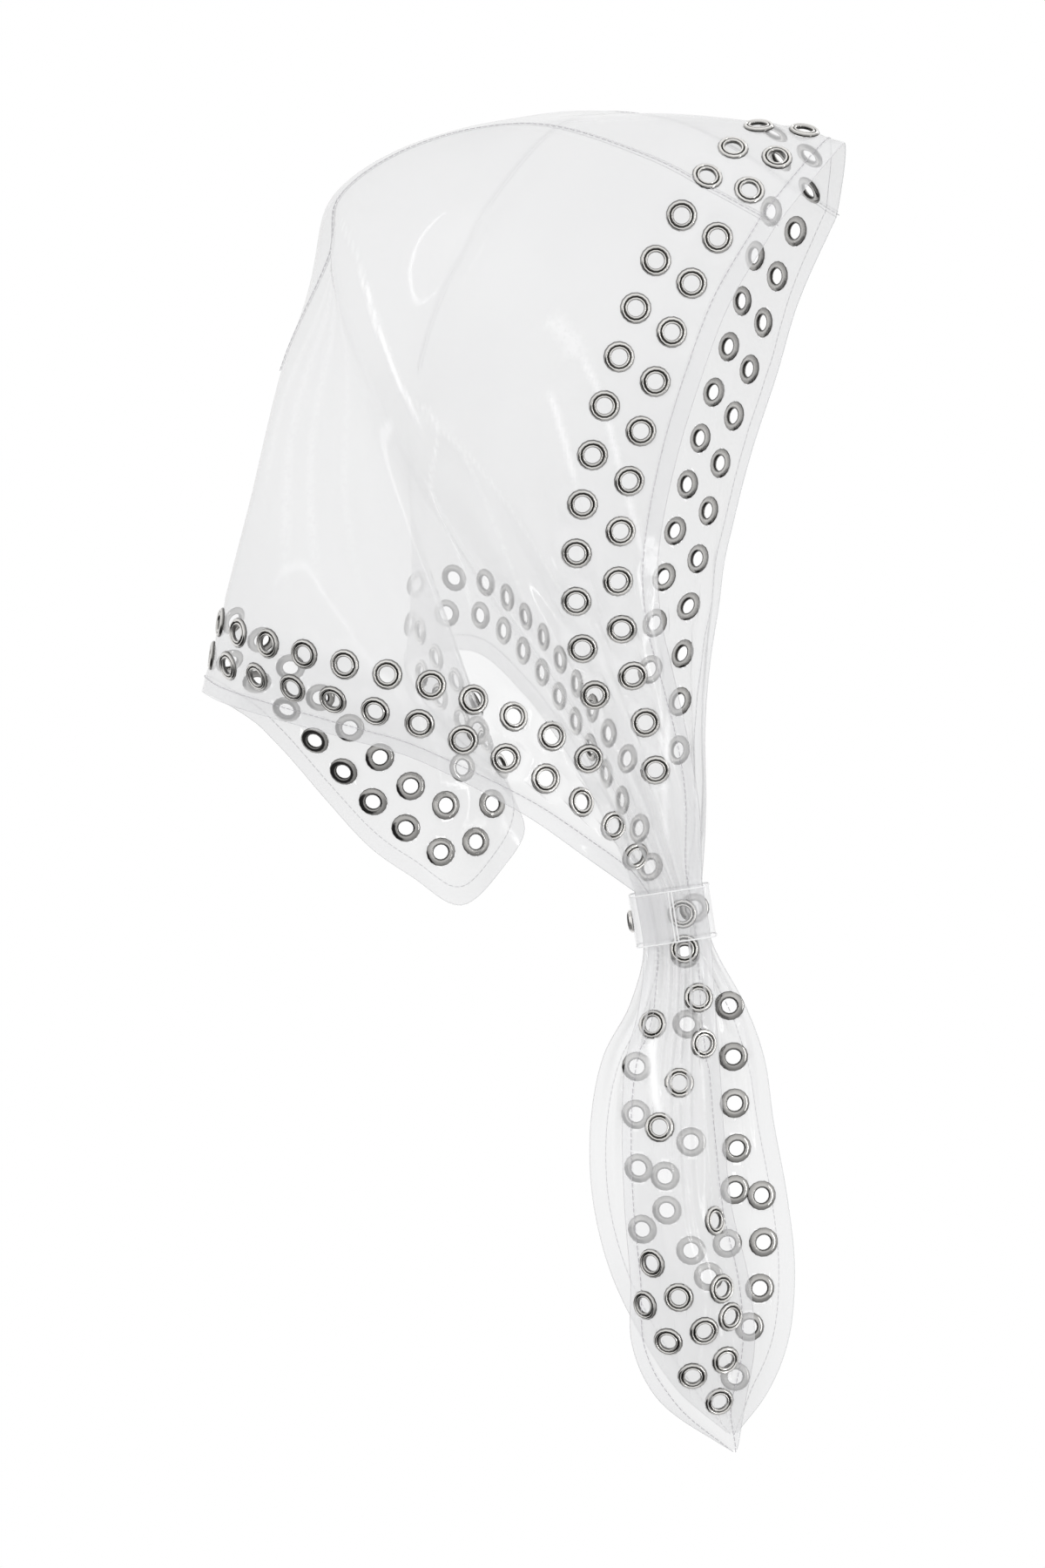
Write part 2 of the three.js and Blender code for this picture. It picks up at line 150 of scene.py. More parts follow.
# The band's welded edges and the welds that close it: their radius, the closing welds' places across its
# outer face, how far out they lie as a share of half its depth, and points along each.
WELDS = {"radius": 0.0004, "across": (-0.0005, 0.0012), "out": 0.97, "points": 9}

# The gathered film inside the band, and how far the strip runs past the band's edges.
STRIP = {"width": 0.033, "apart": 0.0021, "overrun": 0.002}
STRIP_HALF = STRIP["width"] / 2
STRIP_TOP = BAND["height"] / 2 + STRIP["overrun"]

# Each side's way out of the hood, along y.
SIDE_SIGN = {"right": -1, "left": 1}
# How far a side panel bows out between its edges.
SIDE_BOW = 0.007

# Steps of the film's grid: from the face opening to the hem, and along each stretch from one scarf tip
# over the crown to the other.
COLUMNS = 240
CROWN_STEPS = 90
SIDE_STEPS = 125
SCARF_STEPS = 105
# Steps along a curve whose length is measured.
CURVE_STEPS = 400

# The pleats that the band gathers: how many, their depth on a side panel, in the band and on a scarf end,
# and the shares of the way to the band, or from an edge, between which each comes up or fades.
PLEATS = {"count": 7, "side_depth": 0.0026, "band_depth": 0.0016, "scarf_depth": 0.0014,
          "side_rise": (0.42, 0.72), "side_ease": (0.86, 1), "band_rise": (0.80, 0.9),
          "scarf_rise": (0.35, 0.72), "scarf_fade": (0.84, 0.93), "edge_rise": (0.0, 0.12)}
# How far the pleats drift sideways, in how many waves from the face edge to the hem, how far the waves are
# shifted on the right side, and how the pleats slant towards the band. Then the same for uneven depths.
PLEAT_DRIFT = {"size": 0.45, "waves": 1.3, "right": 0.4, "slant": 0.5}
PLEAT_DEPTHS = {"size": 0.25, "waves": 2.3, "start": 0.2, "right": 1.5}
# The shares of the way to the band between which the slow waves die out.
WAVES_END = (0.88, 0.97)

# The creases: the part that they are on, their path, how high the fold stands, how far it reaches to each
# side, the radius of its crest, how jagged it is, how white the film is made there, partly stress whitening
# and partly a painted highlight along the crease, and how far to each side. A path's places count from the
# seam (0) to the band (1) on a side panel, or from the band to the tip on a scarf end, and from the face
# edge (0) to the hem (1).
CREASES = named_rows("part path height reach crest jag white spread", [
    ("side", [(0.02, 0.50), (0.15, 0.467), (0.42, 0.463)], 0.0020, 0.018, 0.002, 0, 0.12, 0.0008),
    ("side", [(0.13, 0.470), (0.22, 0.468), (0.30, 0.466), (0.40, 0.463)],
     0.0004, 0.004, 0.001, 0.0009, 0.9, 0.0009),
    ("side", [(0.36, 0.46), (0.45, 0.404), (0.576, 0.350), (0.66, 0.333)],
     0.0010, 0.009, 0.0008, 0, 0.12, 0.0010),
    ("side", [(0.36, 0.46), (0.44, 0.417), (0.65, 0.454), (0.80, 0.64)],
     0.0010, 0.009, 0.0008, 0, 0.12, 0.0010),
    ("side", [(0.34, 0.46), (0.39, 0.44), (0.53, 0.608), (0.58, 0.66)],
     -0.0009, 0.009, 0.0008, 0, 0.35, 0.0007),
    ("side", [(0.26, 0.24), (0.336, 0.188), (0.416, 0.142), (0.49, 0.087), (0.54, 0.04)],
     0.0012, 0.012, 0.002, 0.0008, 0.5, 0.0014),
    ("side", [(0.35, 0.262), (0.41, 0.246), (0.48, 0.230)], 0.0010, 0.012, 0.002, 0.0005, 0.5, 0.0015),
    ("side", [(0.255, 0.26), (0.275, 0.235), (0.30, 0.215)], 0.0006, 0.010, 0.003, 0.002, 0.28, 0.0040),
    ("side", [(0.02, 0.52), (0.08, 0.66), (0.136, 0.79)], 0.0006, 0.010, 0.002, 0, 0.10, 0.0025),
    ("side", [(0.02, 0.51), (0.14, 0.68), (0.256, 0.84)], 0.0005, 0.008, 0.002, 0, 0.12, 0.0030),
    ("side", [(0.02, 0.50), (0.18, 0.66), (0.328, 0.817)], 0.0006, 0.008, 0.002, 0, 0.12, 0.0025),
    ("side", [(0.02, 0.49), (0.22, 0.62), (0.408, 0.78)], 0.0005, 0.008, 0.002, 0, 0.08, 0.0020),
    ("side", [(0.54, 0.05), (0.66, 0.08), (0.80, 0.20), (0.97, 0.35)],
     0.0014, 0.008, 0.0012, 0, 0.5, 0.0009),
    ("side", [(0.74, 0.10), (0.84, 0.22), (0.96, 0.36)], 0.0009, 0.006, 0.001, 0, 0.8, 0.0016),
    ("scarf", [(0.24, 0.80), (0.34, 0.70), (0.44, 0.60)], 0.0016, 0.010, 0.002, 0, 1.0, 0.0022),
    ("scarf", [(0.10, 0.25), (0.35, 0.20), (0.62, 0.16)], 0.0014, 0.008, 0.001, 0, 0.35, 0.0008),
    ("scarf", [(0.12, 0.50), (0.35, 0.42), (0.66, 0.36), (0.86, 0.5)],
     -0.0012, 0.008, 0.001, 0, 0.2, 0.0008),
])
# Steps along a crease, how many grid rows past its ends it may reach, and the shares of its way over which
# it comes up and fades. Then the three waves that make it jagged: how many radians each runs through from
# end to end, and how high it is.
CREASE_STEPS = 120
CREASE_ROWS = 30
CREASE_RISE = (0, 0.2)
CREASE_FADE = (0.75, 1)
JAG_TURNS = (19, 53, 97)
JAG_SIZES = (1, 0.7, 0.4)
# How white the left side's creases are made, stress whitening and painted highlight alike, as a share of
# the right side's.
LEFT_WHITE = 0.35

# Slow waves that film keeps from being folded: wavelength, height and direction.
WAVES = named_rows("length height way", [
    (0.130, 0.0007, (0.8, 0.3, 0.25)),
    (0.071, 0.00016, (0.9, 0.3, 0.1)),
])
# How the waves bend: this direction and their own give the one along which they do, then how far, how often
# for each wave, and how far on each next wave starts to bend. Last, how far on it starts to rise.
WAVE_BEND = {"way": (0.3, 0.8, -0.5), "size": 0.8, "pace": 0.47, "shift": 1.3}
WAVE_SHIFT = 2.1

# An eyelet: its radius, the least distance between two middles, the shares of the radius between which the
# film's hole ends, and how many radii from its middle the film is flat.
EYELET = {"outer": 0.0075, "apart": 0.0135, "hole": (0.76, 0.84), "flat": 1.8}
# One eyelet's section in mm: radius, height, and how much painted shade it carries there. It is dark in the
# hole, between barrel and washer and at the outer edge, standing in for the dark surroundings that the
# metal mirrors there.
EYELET_SECTION = [
    (3.9, -0.9, 1.0), (3.8, 0.1, 0.9), (4.0, 0.75, 0.4), (4.4, 1.2, 0.0), (4.8, 1.05, 0.0), (5.0, 0.6, 1.0),
    (5.5, 0.4, 1.0), (5.7, 0.85, 0.1), (6.05, 1.15, 0.0), (6.5, 0.98, 0.0), (6.95, 0.55, 0.5),
    (7.4, -0.2, 1.0), (7.0, -0.6, 0.6), (5.0, -1.1, 0.2),
]
EYELET_AROUND = 16
# The snap's dome and rim as radius and height, the points round them and how far they stand off the band.
SNAP_DOME = [(0.00001, 0.0026), (0.002, 0.00255), (0.0036, 0.0023), (0.0046, 0.0018), (0.0051, 0.0012)]
SNAP_RIM = [(0.0048, 0.0006), (0.0049, 0.0013), (0.0052, 0.0015), (0.0055, 0.0012), (0.0056, 0.0006),
            (0.0055, 0.0)]
SNAP_AROUND = 32
SNAP_GAP = 0.0003

# The folded hem: its width and the steps across it, how far it stands off the film, how far from the edge
# its stitches run and how far they stand off, and at most which share of the film's width it takes.
HEM_FOLD = {"width": 0.0092, "steps": 3, "lift": 0.00035, "stitch": 0.0080, "stitch_lift": 0.0006,
            "limit": 0.2}
# The crown seams: how far from the seam line the lapped edge and the stitches run, and how far they stand
# off the film.
SEAM = {"lap": 0.0028, "lap_lift": 0.0004, "stitch": 0.0014, "stitch_lift": 0.0005}

ROOT = "root"

# The photograph's view: the camera's azimuth, elevation, distance, the point it looks at and its lens.
VIEW = {"azimuth": math.radians(28), "elevation": math.radians(7), "distance": 1.9,
        "target": (-0.00424, -0.0466, -0.3189), "lens": 90.5}


def steps(count):
    """Shares from 0 to 1 in that many steps."""
    return np.linspace(0, 1, count + 1)


def catmull(points, t):
    """A centripetal Catmull-Rom curve through points, at t from 0 to 1 in steps of one point."""
    points = np.asarray(points, float)
    t = np.asarray(t, float)
    count = len(points)
    place = np.clip(t, 0, 1) * (count - 1)
    start = np.minimum(place.astype(int), count - 2)
    mix = (place - start)[..., None]
    ends = np.vstack([2 * points[0] - points[1], points, 2 * points[-1] - points[-2]])
    a, b, c, d = (ends[start + i] for i in range(4))
    gap = [np.maximum(np.linalg.norm(q - p, axis=-1, keepdims=True) ** 0.5, 1e-6)
           for p, q in ((a, b), (b, c), (c, d))]
    rise_b = ((b - a) / gap[0] - (c - a) / (gap[0] + gap[1]) + (c - b) / gap[1]) * gap[1]
    rise_c = ((c - b) / gap[1] - (d - b) / (gap[1] + gap[2]) + (d - c) / gap[2]) * gap[1]
    return (b + rise_b * mix + (3 * (c - b) - 2 * rise_b - rise_c) * mix ** 2
            + (2 * (b - c) + rise_b + rise_c) * mix ** 3)


def running_length(points):
    """The length of a line of points up to each of them."""
    return np.concatenate([[0], np.cumsum(np.linalg.norm(np.diff(points, axis=0), axis=1))])


def by_length(points, t):
    """The same curve at shares of its length."""
    fine = catmull(points, steps(CURVE_STEPS))
    run = running_length(fine)
    wanted = np.clip(t, 0, 1) * run[-1]
    return np.stack([np.interp(wanted, run, fine[:, k]) for k in range(3)], axis=-1)


def smoothstep(value, low, high):
    """A soft step from 0 at low to 1 at high."""
    share = np.clip((value - low) / (high - low), 0, 1)
    return share * share * (3 - 2 * share)


def band_axes():
    """The band's directions: across to its front end, out to the right front, and up."""
    turn = Matrix.Rotation(BAND_TURN, 3, "Z") @ Matrix.Rotation(-BAND_TILT, 3, "Y")
    across, left, up = (np.array(turn.col[i]) for i in range(3))
    return across, -left, up


def band_point(across, out, up):
    """A place given in the band's own directions."""
    axis_across, axis_out, axis_up = band_axes()
    return (np.array(BAND["at"]) + np.multiply.outer(across, axis_across)
            + np.multiply.outer(out, axis_out) + np.multiply.outer(up, axis_up))


def throat_point(across, out, z):
    """A point at a level below the band, measured in the band's upright plane."""
    cos, sin = math.cos(BAND_TURN), math.sin(BAND_TURN)
    return (BAND["at"][0] + across * cos + out * sin, BAND["at"][1] + across * sin - out * cos, z)


def section_point(along, across):
    """The crown panel as its sections give it, before its back edge is drawn to the hem's line."""
    right = catmull([row["right"] for row in SECTIONS], along)
    left = catmull([row["left"] for row in SECTIONS], along)
    middle = catmull([row["middle"] for row in SECTIONS], along)
    full = np.interp(along, np.linspace(0, 1, len(SECTIONS)), [row["full"] for row in SECTIONS])
    arch = 1 - np.abs(2 * across - 1) ** full
    return right + (left - right) * across[..., None] + (middle - (right + left) / 2) * arch[..., None]


def crown_point(along, across):
    """The crown panel, along from the visor's edge to the point and across from right to left."""
    pull = np.clip((along - BACK_HEM_FROM) / (1 - BACK_HEM_FROM), 0, 1) ** BACK_HEM_POWER
    shift = catmull(BACK_HEM, across) - section_point(np.ones_like(across), across)
    return section_point(along, across) + shift * pull[..., None]


def strip_corner(side, across, up):
    """A place on the gathered film in the band."""
    return band_point(across, -SIDE_SIGN[side] * STRIP["apart"], up)


def side_point(side, around, down):
    """A side panel, around from the face opening to the hem and down from the seam to the band."""
    sign = SIDE_SIGN[side]
    front, rear = (strip_corner(side, across, STRIP_TOP) for across in (STRIP_HALF, -STRIP_HALF))
    seam = [row[side] for row in SECTIONS]
    face = [seam[0], *((row["x"], sign * row["half"], row["z"]) for row in FACE_EDGE), front]
    hem = [seam[-1], *HEM[side], rear]
    u, v = around[..., None], down[..., None]
    ruled_down = catmull(seam, around) * (1 - v) + (front + (rear - front) * u) * v
    ruled_around = by_length(face, down) * (1 - u) + by_length(hem, down) * u
    corners = ((1 - v) * ((1 - u) * np.array(seam[0]) + u * np.array(seam[-1]))
               + v * (front + (rear - front) * u))
    bow = SIDE_BOW * np.sin(math.pi * around) * np.sin(math.pi * down)
    return ruled_down + ruled_around - corners + bow[..., None] * np.array([0, sign, 0])


def scarf_point(side, around, down):
    """A scarf end, around from its front edge to its rear edge and down from the band's top."""

    def line(strip_across, across_of, out_index):
        head = [tuple(strip_corner(side, strip_across, up)) for up in (STRIP_TOP, -STRIP_TOP)]
        return head + [throat_point(across_of(row), row["out"][out_index], row["z"]) for row in SCARF[side]]

    front = catmull(line(STRIP_HALF, lambda row: row["front"], 2), down)
    middle = catmull(line(0, lambda row: (row["front"] + row["rear"]) / 2, 1), down)
    rear = catmull(line(-STRIP_HALF, lambda row: row["rear"], 0), down)
    u = around[..., None]
    return front + (rear - front) * u + (middle - (front + rear) / 2) * 4 * u * (1 - u)


# The rows of the whole hood's grid, from the left scarf tip over the crown to the right scarf tip.
LEFT_BAND = SCARF_STEPS
LEFT_SEAM = LEFT_BAND + SIDE_STEPS
RIGHT_SEAM = LEFT_SEAM + CROWN_STEPS
RIGHT_BAND = RIGHT_SEAM + SIDE_STEPS
LAST_ROW = RIGHT_BAND + SCARF_STEPS
ROWS = np.arange(LAST_ROW + 1)


def plain_grid():
    """The film's middle surface without its pleats: rows from one scarf tip to the other."""
    around = steps(COLUMNS)

    def patch(function, count, *first):
        down, across = np.meshgrid(steps(count), around, indexing="ij")
        return function(*first, across, down)

    left_scarf = patch(scarf_point, SCARF_STEPS, "left")[::-1]
    left_side = patch(side_point, SIDE_STEPS, "left")[::-1]
    crown = patch(crown_point, CROWN_STEPS)[::-1]
    right_side = patch(side_point, SIDE_STEPS, "right")
    right_scarf = patch(scarf_point, SCARF_STEPS, "right")
    return np.concatenate([left_scarf, left_side[1:], crown[1:], right_side[1:], right_scarf[1:]])


def round_flutes(points):
    """Rounds the fold between the crown panel and the side panels below the ends of the seams."""
    below = smoothstep(steps(COLUMNS), SEAM_END - FLUTES["before"], SEAM_END + FLUTES["after"])
    near_left, near_right = (smoothstep(-np.abs(ROWS - seam), -FLUTES["rows"], -FLUTES["full_rows"])
                             for seam in (LEFT_SEAM, RIGHT_SEAM))
    near = np.maximum(near_left, near_right)
    weight = (near[:, None] * below[None, :])[1:-1, :, None]
    for _ in range(FLUTES["passes"]):
        middle = (points[:-2] + points[2:]) / 2
        points[1:-1] += weight * FLUTES["pull"] * (middle - points[1:-1])
    return points


def grid_normals(points):
    """Unit normals of a grid of points, out of the hood."""
    along = np.gradient(points, axis=0)
    across = np.gradient(points, axis=1)
    normals = np.cross(across, along)
    return normals / np.maximum(np.linalg.norm(normals, axis=-1, keepdims=True), 1e-12)


def distance_to_band():
    """For each row, 0 at a seam or a scarf tip and 1 at the band, and whether it is in a scarf end."""
    side = np.where(ROWS <= (LEFT_SEAM + RIGHT_SEAM) / 2,
                    (LEFT_SEAM - ROWS) / SIDE_STEPS, (ROWS - RIGHT_SEAM) / SIDE_STEPS)
    scarf = np.where(ROWS <= LEFT_BAND, ROWS / SCARF_STEPS, (LAST_ROW - ROWS) / SCARF_STEPS)
    in_scarf = (ROWS < LEFT_BAND) | (ROWS > RIGHT_BAND)
    return np.where(in_scarf, scarf, np.clip(side, 0, 1)), in_scarf


def pleat_heights():
    """How far the pleats push each grid point along its normal."""
    near, in_scarf = distance_to_band()
    around = steps(COLUMNS)[None, :]
    right = ROWS[:, None] > (LEFT_SEAM + RIGHT_SEAM) / 2
    at_side = PLEATS["side_depth"] * smoothstep(near, *PLEATS["side_rise"])
    at_side -= (PLEATS["side_depth"] - PLEATS["band_depth"]) * smoothstep(near, *PLEATS["side_ease"])
    at_scarf = (PLEATS["band_depth"] * smoothstep(near, *PLEATS["band_rise"])
                + PLEATS["scarf_depth"] * smoothstep(near, *PLEATS["scarf_rise"])
                * (1 - smoothstep(near, *PLEATS["scarf_fade"])))
    depth = np.where(in_scarf, at_scarf, at_side)[:, None]
    waves = PLEAT_DRIFT["waves"] * around + PLEAT_DRIFT["right"] * right
    drift = PLEAT_DRIFT["size"] * np.sin(2 * math.pi * waves) + PLEAT_DRIFT["slant"] * near[:, None]
    phase = 2 * math.pi * (PLEATS["count"] * around + drift)
    waves = 2 * math.pi * (PLEAT_DEPTHS["waves"] * around + PLEAT_DEPTHS["start"])
    uneven = 1 - PLEAT_DEPTHS["size"] + PLEAT_DEPTHS["size"] * np.sin(waves + PLEAT_DEPTHS["right"] * right)
    hemmed = smoothstep(np.minimum(around, 1 - around), *PLEATS["edge_rise"])
    return depth * uneven * hemmed * np.sin(phase)


def crease_path(crease, index):
    """A crease's places in shares of its part, with a jagged wander that differs from crease to crease."""
    share = steps(CREASE_STEPS)
    path = catmull([(*place, 0) for place in crease["path"]], share)
    coarse, middle, fine = (size * np.sin(turns * share + start)
                            for size, turns, start in zip(JAG_SIZES, JAG_TURNS, (index, 0, 0)))
    path[:, 1] += crease["jag"] * (coarse + middle + fine)
    return path


def creases(points):
    """How far the creases push each grid point along its normal, and how white they make it, partly stress
    whitening and partly painted highlight.
    """
    heights = np.zeros(points.shape[:2])
    whites = np.zeros(points.shape[:2])
    starts = {("side", 1): (RIGHT_SEAM, SIDE_STEPS), ("side", -1): (LEFT_SEAM, SIDE_STEPS),
              ("scarf", 1): (RIGHT_BAND, SCARF_STEPS), ("scarf", -1): (LEFT_BAND, SCARF_STEPS)}
    for index, crease in enumerate(CREASES):
        path = crease_path(crease, index)
        for way, white_share in ((1, 1), (-1, LEFT_WHITE)):
            first, count = starts[crease["part"], way]
            rows = first + way * path[:, 0] * count
            line = sample(points, rows, path[:, 1] * COLUMNS)
            near = slice(max(int(rows.min()) - CREASE_ROWS, 0), int(rows.max()) + CREASE_ROWS + 1)
            gap = np.linalg.norm(points[near, :, None] - line, axis=-1)
            share = gap.argmin(axis=-1) / CREASE_STEPS
            off = gap.min(axis=-1)
            fade = smoothstep(share, *CREASE_RISE) * (1 - smoothstep(share, *CREASE_FADE))
            fold = np.exp(-np.sqrt(off ** 2 + crease["crest"] ** 2) / crease["reach"])
            heights[near] += crease["height"] * fold * fade
            # The white along the crest: partly stress whitening, partly a painted highlight.
            white = crease["white"] * np.exp(-(off / crease["spread"]) ** 2) * fade
            whites[near] = np.maximum(whites[near], white * white_share)
    return heights, whites


def wave_heights(points):
    """How far the slow waves push each grid point along its normal."""
    heights = np.zeros(points.shape[:2])
    for index, wave in enumerate(WAVES):
        way = np.array(wave["way"]) / np.linalg.norm(wave["way"])
        other = np.cross(way, WAVE_BEND["way"])
        turn = 2 * math.pi / wave["length"]
        bend = WAVE_BEND["size"] * np.sin(turn * WAVE_BEND["pace"] * (points @ other)
                                          + WAVE_BEND["shift"] * index)
        heights += wave["height"] * np.sin(turn * (points @ way) + bend + WAVE_SHIFT * index)
    return heights


@functools.lru_cache(maxsize=1)
def base_surface():
    """The film's points and normals before it is pleated and creased."""
    points = round_flutes(plain_grid())
    return points, grid_normals(points)


# How many rows to each side are searched for the nearest point of an edge, how many rows and columns to
# each side an eyelet may reach, how often a line inside an edge is smoothed, and the points along it.
EDGE_WINDOW = 26
EYELET_WINDOW = 14
INSET_PASSES = 8
TRACK_POINTS = 600


@functools.lru_cache(maxsize=2)
def edge_distances(edge):
    """How far each grid point lies from the face edge (edge 0) or the hem (edge -1)."""
    points, _ = base_surface()
    border = points[:, edge]
    result = np.empty(points.shape[:2])
    for row in ROWS:
        near = border[max(0, row - EDGE_WINDOW):row + EDGE_WINDOW + 1]
        result[row] = np.linalg.norm(points[row][:, None] - near[None], axis=-1).min(axis=1)
    return result


def inset_columns(edge, distance, limit):
    """The column, for each row, that lies that far inside an edge, and at most that share of the way."""
    distances = edge_distances(edge)
    if edge == -1:
        distances = distances[:, ::-1]
    columns = np.empty(LAST_ROW + 1)
    for row in ROWS:
        run = distances[row]
        beyond = int(np.argmax(run >= distance)) if run.max() >= distance else COLUMNS
        low = max(beyond - 1, 0)
        rise = run[beyond] - run[low]
        part = (distance - run[low]) / rise if rise > 0 else 0
        columns[row] = min(low + min(max(part, 0), 1), limit * COLUMNS)
    for _ in range(INSET_PASSES):
        columns[1:-1] = (columns[:-2] + 2 * columns[1:-1] + columns[2:]) / 4
    return COLUMNS - columns if edge == -1 else columns


def sample(grid, row, column):
    """A grid's value at fractional rows and columns."""
    row = np.clip(np.asarray(row, float), 0, grid.shape[0] - 1)
    column = np.clip(np.asarray(column, float), 0, grid.shape[1] - 1)
    r = np.minimum(row.astype(int), grid.shape[0] - 2)
    c = np.minimum(column.astype(int), grid.shape[1] - 2)
    fr, fc = (row - r)[..., None], (column - c)[..., None]
    top = grid[r, c] * (1 - fc) + grid[r, c + 1] * fc
    low = grid[r + 1, c] * (1 - fc) + grid[r + 1, c + 1] * fc
    return top * (1 - fr) + low * fr


def row_spots(plan):
    """The places of one row of eyelets: its rows and columns in the grid, one for each eyelet."""
    if "places" in plan:
        down, around = np.array(plan["places"]).T
        return np.stack([plan["from"] + (plan["to"] - plan["from"]) * down, around * COLUMNS], axis=1)
    columns = inset_columns(plan["edge"], plan["inset"], plan["limit"])
    rows = np.linspace(plan["from"], plan["to"], TRACK_POINTS)
    run = running_length(sample(base_surface()[0], rows, np.interp(rows, ROWS, columns)))
    wanted = plan["start"] + plan["pitch"] * np.arange(plan["count"])
    at = np.interp(wanted[wanted < run[-1]], run, rows)
    return np.stack([at, np.interp(at, ROWS, columns)], axis=1)


def without_clashes(spots):
    """Leaves out eyelets whose centre lies too close to an earlier one."""
    points, _ = base_surface()
    kept = []
    for spot in spots:
        place = sample(points, *spot)
        if all(np.linalg.norm(place - sample(points, *other)) > EYELET["apart"] for other in kept):
            kept.append(spot)
    return np.array(kept)


@functools.lru_cache(maxsize=1)
def eyelet_spots():
    """Every eyelet's place in the grid, by the name of its group."""
    groups = {}
    for plan in eyelet_plan():
        groups.setdefault(plan["group"], []).append(row_spots(plan))
    return {name: without_clashes(np.concatenate(rows)) for name, rows in groups.items()}


def near_eyelets(points, low, high):
    """0 up to that distance low from an eyelet's centre and 1 from high on, for each grid point."""
    result = np.ones(points.shape[:2])
    for spot in np.concatenate(list(eyelet_spots().values())):
        window = tuple(slice(max(0, middle - EYELET_WINDOW), middle + EYELET_WINDOW + 1)
                       for middle in (int(round(place)) for place in spot))
        gap = np.linalg.norm(points[window] - sample(points, *spot), axis=-1)
        result[window] = np.minimum(result[window], smoothstep(gap, low, high))
    return result


@functools.lru_cache(maxsize=1)
def hood_surface():
    """The film's points, normals and the creases' white, partly stress whitening and partly painted
    highlight, on the whole grid, flat where an eyelet holds it.
    """
    points, normals = base_surface()
    near, _ = distance_to_band()
    in_band = smoothstep(near, *WAVES_END)[:, None]
    folds, whites = creases(points)
    heights = pleat_heights() + folds + wave_heights(points) * (1 - in_band)
    heights = heights * near_eyelets(points, EYELET["outer"], EYELET["outer"] * EYELET["flat"])
    points = points + normals * heights[..., None]
    return points, grid_normals(points), whites


def raised(row, column, lift):
    """Places over the finished film at grid rows and columns, standing off it by lift."""
    points, normals, _ = hood_surface()
    return sample(points, row, column) + sample(normals, row, column) * lift


# The rows of eyelets on each side panel and on the crown panel: the group that they belong to, the edge
# that they follow (0 is the face edge, -1 the hem), how far inside it and at most which share of the width,
# and along the row the first one's place, the pitch and how many there are.
EYELET_ROW = "group edge inset limit start pitch count"
SIDE_EYELETS = named_rows(EYELET_ROW, [
    ("face", 0, 0.020, 0.30, 0.017, 0.0242, 12),
    ("side", 0, 0.0395, 0.42, 0.016, 0.0238, 11),
    ("side", -1, 0.020, 0.30, 0.018, 0.0221, 13),
    ("side", -1, 0.0385, 0.42, 0.018, 0.0214, 11),
])
CROWN_EYELETS = named_rows(EYELET_ROW, [
    ("front", 0, 0.020, 0.5, 0.011, 0.0240, 5),
    ("back", 0, 0.0395, 0.5, 0.007, 0.0230, 5),
    ("back", -1, 0.020, 0.5, 0.008, 0.0215, 15),
    ("back", -1, 0.0385, 0.5, 0.004, 0.0218, 14),
])
# The eyelets in each gathered scarf end: places from the band (0) to the tip (1) and from its front edge
# (0) to its rear edge (1).
SCARF_EYELETS = {
    "right": [
        (0.055, 0.36), (0.12, 0.40), (0.25, 0.80), (0.20, 0.217), (0.36, 0.425), (0.43, 0.625),
        (0.63, 0.79), (0.68, 0.59), (0.70, 0.875), (0.76, 0.69), (0.83, 0.525), (0.89, 0.30),
        (0.80, 0.233), (0.74, 0.396), (0.72, 0.18), (0.57, 0.16), (0.67, 0.225), (0.29, 0.16),
    ],
    "left": [
        (0.33, 0.19), (0.41, 0.204), (0.48, 0.22), (0.54, 0.262), (0.49, 0.092), (0.55, 0.13),
        (0.62, 0.154), (0.69, 0.196), (0.75, 0.27), (0.85, 0.37), (0.35, 0.78), (0.43, 0.754),
        (0.47, 0.458), (0.51, 0.746), (0.52, 0.612), (0.57, 0.625), (0.60, 0.77), (0.63, 0.5375),
        (0.62, 0.342), (0.67, 0.47), (0.13, 0.42), (0.22, 0.14), (0.26, 0.5), (0.05, 0.16),
    ],
}


def eyelet_plan():
    """The rows of eyelets with the group that each belongs to and the grid rows that it runs between."""

    def plans(part, rows, first, last):
        return [{**row, "group": part + "_" + row["group"], "from": first, "to": last} for row in rows]

    result = []
    for side, seam, band, tip in (("right", RIGHT_SEAM, RIGHT_BAND, LAST_ROW),
                                  ("left", LEFT_SEAM, LEFT_BAND, 0)):
        result += plans(side, SIDE_EYELETS, seam, band)
        result += plans(side, [{"group": "scarf", "places": SCARF_EYELETS[side]}], band, tip)
    return result + plans("crown", CROWN_EYELETS, RIGHT_SEAM, LEFT_SEAM)


def new_object(name, points, faces=(), edges=(), normals=None, material=None):
    """A smooth mesh object in the scene, made of those points, faces and edges."""
    mesh = bpy.data.meshes.new(name)
    mesh.from_pydata([tuple(p) for p in points], list(edges), list(faces))
    if faces:
        mesh.polygons.foreach_set("use_smooth", [True] * len(mesh.polygons))
    if normals is not None:
        mesh.normals_split_custom_set_from_vertices([tuple(n) for n in normals])
    if material is not None:
        mesh.materials.append(material)
    obj = bpy.data.objects.new(name, mesh)
    bpy.context.scene.collection.objects.link(obj)
    return obj


def add_attribute(obj, name, values):
    """Gives an object's points a number each, for its material."""
    attribute = obj.data.attributes.new(name, "FLOAT", "POINT")
    attribute.data.foreach_set("value", values)


def grid_faces(rows, columns, closed=False):
    """The quads of a grid of points, numbered row by row."""
    wide = columns if closed else columns - 1
    return [(r * columns + c, r * columns + (c + 1) % columns,
             (r + 1) * columns + (c + 1) % columns, (r + 1) * columns + c)
            for r in range(rows - 1) for c in range(wide)]


